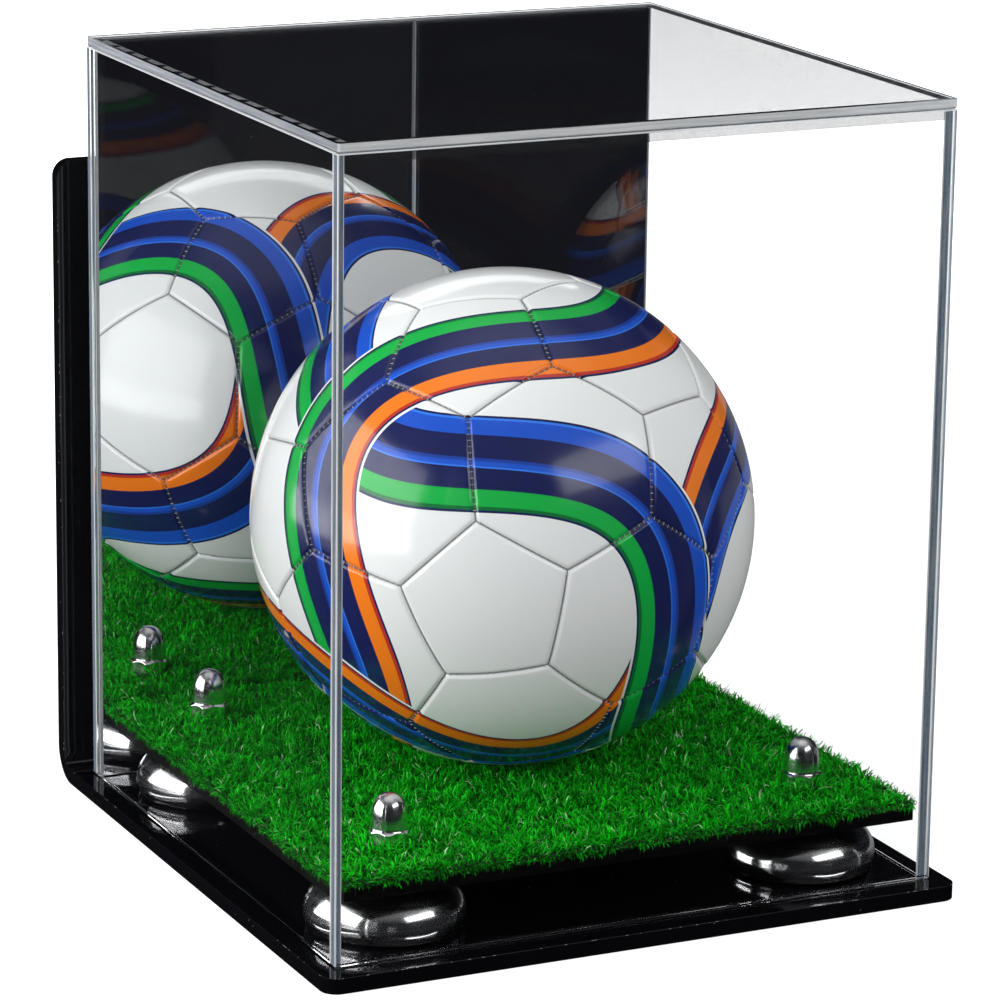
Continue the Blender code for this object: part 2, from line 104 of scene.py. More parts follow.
NUT_CORNER_RADIUS, NUT_BORE_DEPTH = 9.1 * MM, 12.8 * MM
NUT_SKIRT_HEIGHT, NUT_FLARE_HEIGHT = 7.6 * MM, 1.5 * MM
NUT_CHAMFER, NUT_EDGE_ROUND = 0.6 * MM, 0.12 * MM
NUT_DOME_SHOULDER, NUT_DOME_NOSE, NUT_FLARE_POWER = 3.4, 2.2, 1.5
NUT_SKIRT_ROWS = [height * MM for height in (7.1, 6.6, 5.2, 3.4, 1.6, 0.9)]
NUT_TURN_DEGREES = dict(zip(CORNERS, (3, 28, 55, 14)))
LATHE_STEPS, LATHE_SHARP_DEGREES = 96, 38

# Platform and turf
BOARD_EDGE_BREAK = 0.5 * MM
TURF_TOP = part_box("cap_nut_front_left")[0].z - GLUE_GAP
BLADE_LENGTHS = (4.2 * MM, 7.6 * MM)
BLADE_LONGEST, BLADE_LONGEST_AT_NUT = 8.2 * MM, 9.4 * MM
BLADE_SHORTEST, BLADE_NONE = 1.3 * MM, 1.2 * MM
BLADE_DENSITY, FRINGE_DENSITY = 720_000.0, 2_400_000.0
BLADE_KEEP_OUT, NUT_CLEARANCE = 8.4 * MM, 0.25 * MM
BLADE_AT_NUT, NUT_TUFT_RADIUS = 9.8 * MM, 12.5 * MM
BLADE_TO_BALL = 0.5 * MM
PILE_CLUMPS, PILE_DRIFTS, FRINGE_DRIFTS = 170, 90, 110
EDGE_LEAN, EDGE_LEAN_REACH, PILE_LEAN = 1.6, 3.0 * MM, 0.9
FRINGE_OVERHANG, FRINGE_LEAN, FRINGE_LENGTH = 1.5 * MM, 3.1, 4.6 * MM
CARRIER_STEP, FRINGE_STEP, CARRIER_INSET = 1.5 * MM, 2.0 * MM, 0.2 * MM
TURF_TILES = (4, 2)
TURF_SEED = 11
BLADE_RINGS, BLADE_TAPER = (0.0, 0.36, 0.68, 0.90), 0.42
BLADE_SHAPES = ((0.30, 0.18, 0.08, 0.125), (0.70, -0.25, 0.34, 0.115), (0.95, 0.32, 0.55, 0.13),
                (0.55, -0.40, 0.28, 0.105), (0.15, 0.35, 0.04, 0.14))

# Ball
BALL_RADIUS = 111 * MM
BALL_CENTRE = Vector((0, sum(end.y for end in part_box("turf_mat")) / 2, 152.8 * MM))
BALL_TURN_DEGREES, PRINT_TURN_DEGREES = (14, -31, 22), (70, 20, 40)
SEAM_HALF_WIDTH, SEAM_DEPTH, SEAM_POWER = 2.3 * MM, 1.5 * MM, 2.2
PANEL_STEPS = 20
PANEL_RINGS = [*np.linspace(0, 0.90, 10)[1:],
               0.925, 0.94, 0.952, 0.963, 0.973, 0.981, 0.988, 0.994, 1.0]
STITCH_PITCH, STITCH_SUNK = 2.7 * MM, 0.78 * MM
STITCH_RADIUS, STITCH_REACH = 0.15 * MM, 0.85 * MM
STITCH_BOW, STITCH_DIP = 0.26 * MM, 0.10 * MM
SEAM_STEPS, SEAM_END_GAP = 16, 0.04
VALVE_SEAT_RADIUS, VALVE_SEAT_SLOPE, VALVE_SEAT_DEPTH = 4.2 * MM, 0.8 * MM, 0.5 * MM
VALVE_PROFILE = [(radius * MM, height * MM) for radius, height in (
    (1.2, -2.4), (1.2, -0.75), (1.45, -0.45), (2.6, -0.35), (3.2, -0.6), (3.3, -2.4))]

# Printed ribbons
WHITE, NAVY, BLUE = (0.85, 0.855, 0.85), (0.010, 0.014, 0.085), (0.012, 0.085, 0.56)
PALE_BLUE, DEEP_BLUE = (0.03, 0.19, 0.80), (0.011, 0.05, 0.33)
GREEN, DARK_GREEN = (0.006, 0.42, 0.06), (0.004, 0.16, 0.035)
ORANGE, RED = (0.90, 0.205, 0.012), (0.50, 0.035, 0.02)
RIBBON_HALF_WIDTH = 22.5
RIBBON_WAVE, RIBBON_WAVES = 0.24, 3.0

# Studio
AMBIENT = 0.86
FLOOR_GLOW, FLOOR_GLOW_BEHIND = 0.62, 1.62
STUDIO_DARK, STUDIO_CEILING, STUDIO_ZENITH = (0.0068, 0.0072, 0.0096), (0.12,) * 3, (0.70,) * 3


# Nodes


class Wiring:
    """Adds nodes to a tree. A number or colour sets a socket, and a socket is linked to it."""

    def __init__(self, tree):
        self.tree = tree

    def __call__(self, kind, given=None, out=0, **settings):
        node = self.tree.nodes.new(kind)
        for name, value in settings.items():
            setattr(node, name, value)
        for key, value in (given or {}).items():
            self.join(value, node.inputs[key])
        return node if out is None else node.outputs[out]

    def join(self, value, socket):
        if isinstance(value, bpy.types.NodeSocket):
            self.tree.links.new(value, socket)
        else:
            socket.default_value = (*value, 1) if socket.type == "RGBA" else value

    def math(self, operation, *terms):
        return self("ShaderNodeMath", dict(enumerate(terms)), operation=operation)

    def times(self, first, second):
        return self.math("MULTIPLY", first, second)

    def vector(self, operation, *terms, out=0):
        return self("ShaderNodeVectorMath", dict(enumerate(terms)), out, operation=operation)

    def parts(self, vector):
        return self("ShaderNodeSeparateXYZ", {0: vector}, None).outputs

    def joined(self, **parts):
        return self("ShaderNodeCombineXYZ", {name.upper(): parts[name] for name in parts})

    def mix(self, share, first, second):
        return self("ShaderNodeMix", {0: share, 6: first, 7: second}, 2, data_type="RGBA")

    def mixed_shader(self, share, first, second):
        return self("ShaderNodeMixShader", {0: share, 1: first, 2: second})

    def mapped(self, value, low, high, to_low=0.0, to_high=1.0, smooth=False):
        return self("ShaderNodeMapRange", {0: value, 1: low, 2: high, 3: to_low, 4: to_high},
                    interpolation_type="SMOOTHSTEP" if smooth else "LINEAR")

    def ramp(self, value, stops, interpolation="CONSTANT"):
        node = self("ShaderNodeValToRGB", {0: value}, None)
        band = node.color_ramp
        band.interpolation = interpolation
        while len(band.elements) < len(stops):
            band.elements.new(1.0)
        for element, (place, colour) in zip(band.elements, stops):
            element.position, element.color = place, (*colour, 1.0)
        return node.outputs[0]

    def attribute(self, name):
        return self("ShaderNodeAttribute", out="Fac", attribute_name=name)

    def place(self):
        return self("ShaderNodeTexCoord", out="Object")

    def noise(self, scale, detail=2.0, place=None):
        place = self.place() if place is None else place
        return self("ShaderNodeTexNoise", {"Vector": place, "Scale": scale, "Detail": detail})

    def bump(self, height, strength, distance):
        return self("ShaderNodeBump",
                    {"Strength": strength, "Distance": distance, "Height": height})

    def named(self, kind, given, **settings):
        """A node with the given sockets, named with _ for their spaces."""
        given = {name.replace("_", " "): value for name, value in given.items()}
        return self(kind, given, None, **settings).outputs

    def group(self, tree, **given):
        return self.named("ShaderNodeGroup", given, node_tree=tree)

    def dust(self, spacing, share, size):
        return self.group(DUST, Place=self.place(), Speck_Spacing=spacing, Speck_Share=share,
                          Speck_Size=size)

    def turned_marks(self, rings):
        return self.group(TURNED_MARKS, UV=self("ShaderNodeUVMap"), Rings_per_Metre=rings)

    def shader(self, **given):
        return self.named("ShaderNodeBsdfPrincipled", given)[0]

    def by_ray(self, camera, mirrored, scattered):
        """What a ray meets: straight from the camera, after a mirroring, or to light a thing."""
        paths = self("ShaderNodeLightPath", out=None).outputs
        seen = self.mixed_shader(self.math("GREATER_THAN", paths["Glossy Depth"], 0.5), camera,
                                 mirrored)
        return self.mixed_shader(self.math("GREATER_THAN", paths["Diffuse Depth"], 0.5), seen,
                                 scattered)


def group_tree(kind, name, inputs, outputs):
    """A node group with named sockets: (wiring, its input sockets, its output node's)."""
    tree = bpy.data.node_groups.new(name, kind)
    for in_out, sockets in (("INPUT", inputs), ("OUTPUT", outputs)):
        for socket, socket_type in sockets.items():
            tree.interface.new_socket(name=socket, in_out=in_out,
                                      socket_type="NodeSocket" + socket_type)
    put = Wiring(tree)
    return put, put("NodeGroupInput", out=None).outputs, put("NodeGroupOutput", out=None).inputs


def dust_group():
    """Sparse specks of dust and a slow haze of handling, over Object coordinates. On the
    black sheet's broken edges the pale specks also paint a dotted highlight.
    """
    put, given, out = group_tree(
        "ShaderNodeTree", "dust_and_haze",
        {"Place": "Vector", "Speck Spacing": "Float", "Speck Share": "Float",
         "Speck Size": "Float"},
        {"Dust": "Float", "Haze": "Float"})
    scale = put.math("DIVIDE", 1.0, given["Speck Spacing"])
    cells = put("ShaderNodeTexVoronoi", {"Vector": given["Place"], "Scale": scale}, None).outputs
    pick = put("ShaderNodeSeparateColor", {0: cells["Color"]}, None).outputs
    kept = put.math("LESS_THAN", pick[0], given["Speck Share"])
    near = put.math("LESS_THAN", cells["Distance"], put.times(pick[1], given["Speck Size"]))
    put.join(put.times(kept, near), out["Dust"])
    put.join(put.mapped(put.noise(14.0, 5.0, given["Place"]), 0.35, 0.7), out["Haze"])
    return put.tree


def turned_marks_group():
    """Fine rings left by turning and polishing, along the V of a turned piece's UV map."""
    put, given, out = group_tree(
        "ShaderNodeTree", "turned_marks", {"UV": "Vector", "Rings per Metre": "Float"},
        {"Height": "Float", "Rubbed": "Float"})
    along = put.parts(given["UV"])[1]

    def rings(per_metre, detail):
        return put("ShaderNodeTexNoise", {"W": put.times(along, per_metre), "Scale": 1.0,
                                          "Detail": detail}, noise_dimensions="1D")

    put.join(rings(given["Rings per Metre"], 3.0), out["Height"])
    put.join(put.mapped(rings(260.0, 2.0), 0.35, 0.65), out["Rubbed"])
    return put.tree


DUST = dust_group()
TURNED_MARKS = turned_marks_group()


# Materials


def finish(wire):
    """Turns a function that wires a shader into one that makes a material of its name."""
    def make(*settings, name=wire.__name__, **named):
        material = bpy.data.materials.new(name)
        material.use_nodes = True
        material.node_tree.nodes.clear()
        put = Wiring(material.node_tree)
        end = put("ShaderNodeOutputMaterial", out=None)
        put.join(wire(put, *settings, **named), end.inputs["Surface"])
        return material
    return make


@finish
def black_acrylic(put):
    specks_and_haze = put.dust(0.0042, 0.22, 0.075)
    rough = put.math("ADD", put.mapped(specks_and_haze["Haze"], 0, 1, 0.02, 0.06),
                     put.times(specks_and_haze["Dust"], 0.5))
    return put.shader(
        Base_Color=put.mix(specks_and_haze["Dust"], (0.0022, 0.0022, 0.0030), (0.16, 0.16, 0.17)),
        Roughness=rough, Normal=put.bump(put.noise(55.0, 1.0), 0.02, 0.0006), IOR=1.49)


@finish
def black_edge_dust_and_painted_glints(put):
    """The broken edges of the black sheet: pale specks of dust in their colour, which also
    paint a dotted highlight along each edge, and a haze of handling that roughens them.
    """
    specks_and_haze = put.dust(0.0016, 0.42, 0.55)
    return put.shader(
        # Painted highlight: pale specks in the colour make a dotted glint along the edge.
        Base_Color=put.mix(specks_and_haze["Dust"], (0.006, 0.006, 0.008), (0.20, 0.20, 0.21)),
        Roughness=put.mapped(specks_and_haze["Haze"], 0, 1, 0.10, 0.24), IOR=1.49)


def see_through(put, glass):
    """Lets lamps and soft light through the glass, so that they reach what is behind it."""
    paths = put("ShaderNodeLightPath", out=None).outputs
    clear = put("ShaderNodeBsdfTransparent", {"Color": (0.97, 0.98, 0.98)})
    soft = put.mixed_shader(paths["Is Diffuse Ray"], glass, clear)
    return put.mixed_shader(paths["Is Shadow Ray"], soft, clear)


@finish
def clear_acrylic(put, index):
    rough = put.times(put.dust(0.016, 0.16, 0.012)["Dust"], 0.35)
    return see_through(put, put.shader(Base_Color=(0.99, 0.995, 1.0), Roughness=rough,
                                       Transmission_Weight=1.0, IOR=index))


@finish
def polished_edge_painted_reflections(put, clearness, dull_colour, bright_colour):
    """Edge of the clear sheet, flame polished: faint streaks that run along it, from the UV
    map of place across and length along. Their colour, from dull to bright, is a painted
    reflection of the light and dark bands in the edge."""
    streak = put("ShaderNodeMapping", {0: put("ShaderNodeUVMap"), 3: (4.0, 30.0, 1.0)})
    streaks = put.noise(1.0, 2.0, streak)
    return see_through(put, put.shader(
        # Painted reflection: the streaks shade the colour from dull to bright.
        Base_Color=put.mix(put.mapped(streaks, 0.36, 0.64), dull_colour, bright_colour),
        Roughness=put.mapped(streaks, 0.3, 0.7, 0.02, 0.08),
        Normal=put.bump(streaks, 0.16, 0.0006), Transmission_Weight=clearness, IOR=1.49))


@finish
def mirror_face(put):
    rough = put.times(put.dust(0.011, 0.15, 0.02)["Dust"], 0.4)
    return put.shader(Base_Color=(0.87, 0.88, 0.89), Metallic=1.0, Roughness=rough)


@finish
def mirror_backing(put):
    grain = put.noise(420.0, 4.0)
    colour = put.mix(put.mapped(grain, 0.35, 0.65), (0.115, 0.12, 0.125), (0.16, 0.165, 0.17))
    return put.shader(Base_Color=colour, Roughness=0.6, Normal=put.bump(grain, 0.2, 0.0003))


@finish
def grained(put, scale, dark, pale, roughness, detail=2.0, relief=0.0, depth=0.0, **more):
    """A matt stuff, cloudy from dark to pale, with the same grain in relief where it has any."""
    grain = put.noise(scale, detail)
    if relief:
        more["Normal"] = put.bump(grain, relief, depth)
    return put.shader(Base_Color=put.mix(grain, dark, pale), Roughness=roughness, **more)


@finish
def turned_chrome(put, smoothest, dullest, spread):
    """Chrome polished on a lathe. Its rings spread the highlights along the profile."""
    marks = put.turned_marks(900.0)
    return put.shader(
        Base_Color=put.mix(marks["Rubbed"], (0.88, 0.88, 0.89), (0.78, 0.78, 0.79)),
        Metallic=1.0, Roughness=put.mapped(marks["Rubbed"], 0, 1, smoothest, dullest),
        Normal=put.bump(marks["Height"], 0.08, 0.00004), Anisotropic=spread,
        Anisotropic_Rotation=0.25, Tangent=put("ShaderNodeTangent", direction_type="UV_MAP"))


@finish
def zinc_plated_steel(put):
    marks = put.turned_marks(5200.0)
    return put.shader(
        Base_Color=put.mix(marks["Rubbed"], (0.50, 0.50, 0.51), (0.60, 0.60, 0.59)),
        Metallic=1.0, Roughness=put.mapped(marks["Rubbed"], 0, 1, 0.24, 0.38),
        Normal=put.bump(marks["Height"], 0.3, 0.00005))


@finish
def black_board(put):
    fibre = put("ShaderNodeMapping", {0: put.place(), 3: (120, 120, 1400)})
    saw = put.noise(1.0, 4.0, fibre)
    colour = put.mix(put.mapped(saw, 0.45, 0.8), (0.0012, 0.0011, 0.0011),
                     (0.007, 0.006, 0.005))
    colour = put.mix(put.dust(0.003, 0.25, 0.09)["Dust"], colour, (0.07, 0.07, 0.07))
    return put.shader(Base_Color=colour, Roughness=0.5, Specular_IOR_Level=0.08,
                      Normal=put.bump(saw, 0.35, 0.0002))


@finish
def turf_blade(put):
    """Each blade has its own shade of green, and a few are painted near white as highlights.
    Painted shade darkens the blades at the root and in patches between clumps, so they are
    paler towards the tip.
    """
    green = put.ramp(put.attribute("shade"), [
        (0.0, (0.002, 0.20, 0.003)), (0.35, (0.003, 0.52, 0.005)),
        (0.75, (0.006, 0.78, 0.010)), (0.955, (0.03, 0.85, 0.03)),
        # The palest stops paint a few blades near white, as highlights.
        (0.975, (0.20, 0.92, 0.16)), (1.0, (0.80, 0.98, 0.75))], "LINEAR")
    # Painted shade: darker at the root and in patches between clumps.
    deep = put.math("MAXIMUM", put.mapped(put.attribute("along"), 0.0, 0.48, 0.75, 0.0),
                    put.mapped(put.noise(170.0), 0.38, 0.52, 0.60, 0.0))
    return put.shader(Base_Color=put.mix(deep, green, (0.0003, 0.028, 0.0004)),
                      Roughness=0.4, Specular_IOR_Level=0.15)


def ribbon_group():
    """Distance in mm of a place on the ball from a ribbon that waves round its equator."""
    put, given, out = group_tree("ShaderNodeTree", "waving_ribbon",
                                 {"Direction": "Vector", "Phase": "Float"},
                                 {"Distance": "Float"})
    place = put.parts(given["Direction"])
    round_it = put.math("ARCTAN2", place[1], place[0])
    above = put.math("ARCSINE", place[2])
    turned = put.math("MULTIPLY_ADD", round_it, RIBBON_WAVES, given["Phase"])
    wave = put.times(put.math("SINE", turned), RIBBON_WAVE)
    slope = put.times(put.math("COSINE", turned), RIBBON_WAVE * RIBBON_WAVES)
    slope = put.math("DIVIDE", slope, put.math("MAXIMUM", put.math("COSINE", above), 0.35))
    lean = put.math("SQRT", put.math("ADD", put.times(slope, slope), 1.0))
    off = put.math("DIVIDE", put.math("SUBTRACT", above, wave), lean)
    put.join(put.times(off, BALL_RADIUS / MM), out["Distance"])
    return put.tree


def ribbon_stops(first, first_edge, second, second_edge):
    """Ramp stops across a ribbon: a white margin, a navy line, a coloured band, navy, a blue
    stripe that fades into the navy, and the second band."""
    half = RIBBON_HALF_WIDTH
    bands = [(-half, WHITE), (-half + 1.2, NAVY), (-half + 2.2, first_edge),
             (-half + 3.8, first), (-11.6, NAVY), (-2.4, PALE_BLUE), (-1.7, BLUE),
             (0.4, DEEP_BLUE), (1.8, NAVY), (12.2, second), (half - 3.2, second_edge),
             (half - 2.2, NAVY), (half - 1.2, WHITE)]
    return [((d + half) / (2 * half), colour) for d, colour in bands]


@finish
def printed_ball_skin(put):
    centred = put.vector("SUBTRACT", put.place(), BALL_CENTRE)
    turned = put("ShaderNodeVectorRotate",
                 {0: centred, 4: [math.radians(angle) for angle in PRINT_TURN_DEGREES]},
                 rotation_type="EULER_XYZ")
    axes = put.parts(put.vector("NORMALIZE", turned))
    ribbon = ribbon_group()
    masks, colours = [], []
    for turn, pair in enumerate(((ORANGE, RED, GREEN, DARK_GREEN),
                                 (GREEN, DARK_GREEN, BLUE, PALE_BLUE),
                                 (ORANGE, RED, BLUE, PALE_BLUE))):
        seen = put.joined(x=axes[turn], y=axes[(turn + 1) % 3], z=axes[(turn + 2) % 3])
        off = put.group(ribbon, Direction=seen, Phase=0.7 + 1.1 * turn)[0]
        share = put.mapped(off, -RIBBON_HALF_WIDTH, RIBBON_HALF_WIDTH)
        masks.append(put.math("LESS_THAN", put.math("ABSOLUTE", off), RIBBON_HALF_WIDTH))
        colours.append(put.ramp(share, ribbon_stops(*pair)))
    colour = put.mix(masks[0], WHITE, colours[0])
    colour = put.mix(masks[2], colour, colours[2])
    open_to_second = put.times(masks[1], put.math("SUBTRACT", 1.0, masks[0]))
    colour = put.mix(open_to_second, colour, colours[1])
    # A thin dark line at each seam: partly the seam's glue, partly painted shade at the groove's
    # bottom.
    line = put.mapped(put.attribute("from_seam"), 0.00015, 0.0006, 1.0, 0.0, True)
    colour = put.mix(put.times(line, 0.75), colour, (0.10, 0.10, 0.11))
    dimples = put.noise(60.0, 2.0, centred)
    height = put.math("ADD", put.times(put.noise(900.0, 2.0, centred), 0.05), dimples)
    return put.shader(Base_Color=colour, Roughness=put.mapped(dimples, 0.35, 0.65, 0.16, 0.22),
                      Normal=put.bump(height, 0.06, 0.0008), Coat_Weight=0.35,
                      Coat_Roughness=0.06)


# Shared ways of making pieces


def linked_object(name, mesh):
    obj = bpy.data.objects.new(name, mesh)
    bpy.context.scene.collection.objects.link(obj)
    return obj


def mesh_from(bm):
    mesh = bpy.data.meshes.new("shape")
    bm.normal_update()
    bm.to_mesh(mesh)
    bm.free()
    return mesh


def baked_mesh(obj):
    """The object's evaluated mesh, with its place; the object itself is removed."""
    graph = bpy.context.evaluated_depsgraph_get()
    graph.update()
    mesh = bpy.data.meshes.new_from_object(obj.evaluated_get(graph), depsgraph=graph)
    mesh.transform(obj.matrix_world)
    bpy.data.objects.remove(obj, do_unlink=True)
    return mesh


def finished(name, mesh, body, slot, *stands_for):
    mesh.name = name
    piece = linked_object(name, mesh)
    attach(piece, body)
    if stands_for:
        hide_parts(*stands_for)


def break_edges(obj, width, angle=30):
    bevel = obj.modifiers.new("edge_break", "BEVEL")
    bevel.width, bevel.segments = width, BREAK_STEPS
    bevel.limit_method, bevel.angle_limit = "ANGLE", math.radians(angle)
    obj.modifiers.new("flat_faces", "WEIGHTED_NORMAL").keep_sharp = True
    return bevel


def smooth_closed(bm):
    """Smooth shading, with every normal outwards."""
    for face in bm.faces:
        face.smooth = True
    bmesh.ops.recalc_face_normals(bm, faces=bm.faces)


def walls_between(bm, rings):
    """Side faces from each closed ring of vertices to the next."""
    for lower, upper in zip(rings, rings[1:]):
        for side in range(len(lower)):
            after = (side + 1) % len(lower)
            bm.faces.new((lower[side], lower[after], upper[after], upper[side]))


def lathe_mesh(profile, material=None, place=Vector(), steps=LATHE_STEPS, limit=None):
    """A closed turned solid about a vertical axis at place, from (radius, height) points that
    run from the axis, or round a ring, with a UV map of turn and length along the profile.
    A limit narrows a radius by the angle, which cuts flats."""
    bm = bmesh.new()
    uv_layer = bm.loops.layers.uv.new("UVMap")
    run = [0.0]
    for (r0, z0), (r1, z1) in zip(profile, profile[1:]):
        run.append(run[-1] + math.hypot(r1 - r0, z1 - z0))

    def corner(radius, height, angle):
        reach = limit(radius, angle) if limit else radius
        return bm.verts.new(
            place + Vector((reach * math.cos(angle), reach * math.sin(angle), height)))

    rows = [[corner(0, height, 0)] * steps if radius == 0 else
            [corner(radius, height, 2 * math.pi * step / steps) for step in range(steps)]
            for radius, height in profile]
    pairs = [(row, row + 1) for row in range(len(rows) - 1)]
    if profile[0][0] > 0:
        pairs.append((len(rows) - 1, 0))
    for upper, lower in pairs:
        for step in range(steps):
            after = (step + 1) % steps
            spots = {}
            for row, turn, side in ((upper, step, 0), (lower, step, 0), (lower, after, 1),
                                    (upper, after, 1)):
                spots.setdefault(rows[row][turn], ((step + side) / steps, run[row]))
            if len(spots) > 2:
                for loop in bm.faces.new(list(spots)).loops:
                    loop[uv_layer].uv = spots[loop.vert]
    smooth_closed(bm)
    mesh = mesh_from(bm)
    mesh.set_sharp_from_angle(angle=math.radians(LATHE_SHARP_DEGREES))
    if material:
        mesh.materials.append(material)
    return mesh


def round_corners(bm, axis, radius, segments):
    """Rounds the edges of a box that run along the axis."""
    along = [edge for edge in bm.edges
             if abs((edge.verts[0].co - edge.verts[1].co)[axis]) > MM / 20]
    bmesh.ops.bevel(bm, geom=along, offset=radius, segments=segments, profile=0.5,
                    affect="EDGES")


def edged_box(low, high, width, materials, thin_axis=None, corner_radius=0):
    """A box with broken edges. Faces along the thin axis, save the lower one, take the second
    material, and their UV map is place across the sheet and length along the edge."""
    bm = bmesh.new()
    size = high - low
    bmesh.ops.create_cube(bm, size=1, matrix=Matrix.Translation((low + high) / 2)
                          @ Matrix.Diagonal((*size, 1)))
    if corner_radius:
        round_corners(bm, thin_axis, corner_radius, 5)
    uv_layer = bm.loops.layers.uv.new("UVMap")
    for face in bm.faces:
        face.smooth = True
        if thin_axis is None or abs(face.normal[thin_axis]) > 0.5 or face.normal.z < -0.5:
            continue
        face.material_index = 1
        along = max((max(vert.co[axis] for vert in face.verts)
                     - min(vert.co[axis] for vert in face.verts), axis)
                    for axis in range(3) if axis != thin_axis)[1]
        for loop in face.loops:
            across = (loop.vert.co[thin_axis] - low[thin_axis]) / size[thin_axis]
            loop[uv_layer].uv = across, loop.vert.co[along]
    obj = linked_object("box", mesh_from(bm))
    for material in materials:
        obj.data.materials.append(material)
    break_edges(obj, width).material = len(materials) - 1
    return baked_mesh(obj)


def instanced_mesh(carrier, tree, inputs):
    """The plain mesh that a Geometry Nodes tree makes on a carrier, which is then removed."""
    nodes = carrier.modifiers.new("copies", "NODES")
    nodes.node_group = tree
    for item in tree.interface.items_tree:
        if item.item_type == "SOCKET" and item.in_out == "INPUT" and item.name in inputs:
            nodes[item.identifier] = inputs[item.name]
    mesh = baked_mesh(carrier)
    mesh.materials.clear()
    mesh.materials.append(inputs["Material"])
    return mesh


def realized(put, made, material, out):
    plain = put("GeometryNodeRealizeInstances", {"Geometry": made})
    put.join(put("GeometryNodeSetMaterial", {"Geometry": plain, "Material": material}), out)
    return put.tree


def row_tree(name, smallest, largest, over_ball):
    """Copies of a part at each step along a line, turned along it. Over the ball they are
    scaled whole and stand outwards; elsewhere they are only stretched along the line."""
    put, given, out = group_tree(
        "GeometryNodeTree", name,
        dict(Line="Geometry", Pitch="Float", Part="Object", Seed="Int", Material="Material"),
        {"Row": "Geometry"})
    line = put("GeometryNodeMeshToCurve", {"Mesh": given["Line"]})
    spots = put("GeometryNodeResampleCurve", {"Curve": line, "Length": given["Pitch"]},
                mode="LENGTH")
    size = put("FunctionNodeRandomValue", {2: smallest, 3: largest, 8: given["Seed"]}, 1,
               data_type="FLOAT")
    ahead = {"Vector": put("GeometryNodeInputTangent")}
    if over_ball:
        outwards = put.vector("NORMALIZE", put("GeometryNodeInputPosition"))
        up = put("FunctionNodeAlignRotationToVector", {"Vector": outwards}, axis="Z")
        turn = put("FunctionNodeAlignRotationToVector", {"Rotation": up, **ahead}, axis="X",
                   pivot_axis="Z")
    else:
        turn = put("FunctionNodeAlignRotationToVector", ahead, axis="X")
        size = put.joined(x=size, y=1.0, z=1.0)
    part = put("GeometryNodeObjectInfo", {"Object": given["Part"]}, "Geometry")
    made = put("GeometryNodeInstanceOnPoints",
               {"Points": spots, "Instance": part, "Rotation": turn, "Scale": size})
    return realized(put, made, given["Material"], out["Row"])


def row_mesh(carrier, tree, part_mesh, pitch, seed, material):
    part = linked_object("part", part_mesh)
    mesh = instanced_mesh(carrier, tree, {"Pitch": pitch, "Part": part, "Seed": seed,
                                          "Material": material})
    bpy.data.objects.remove(part, do_unlink=True)
    return mesh


# Base and wall plate


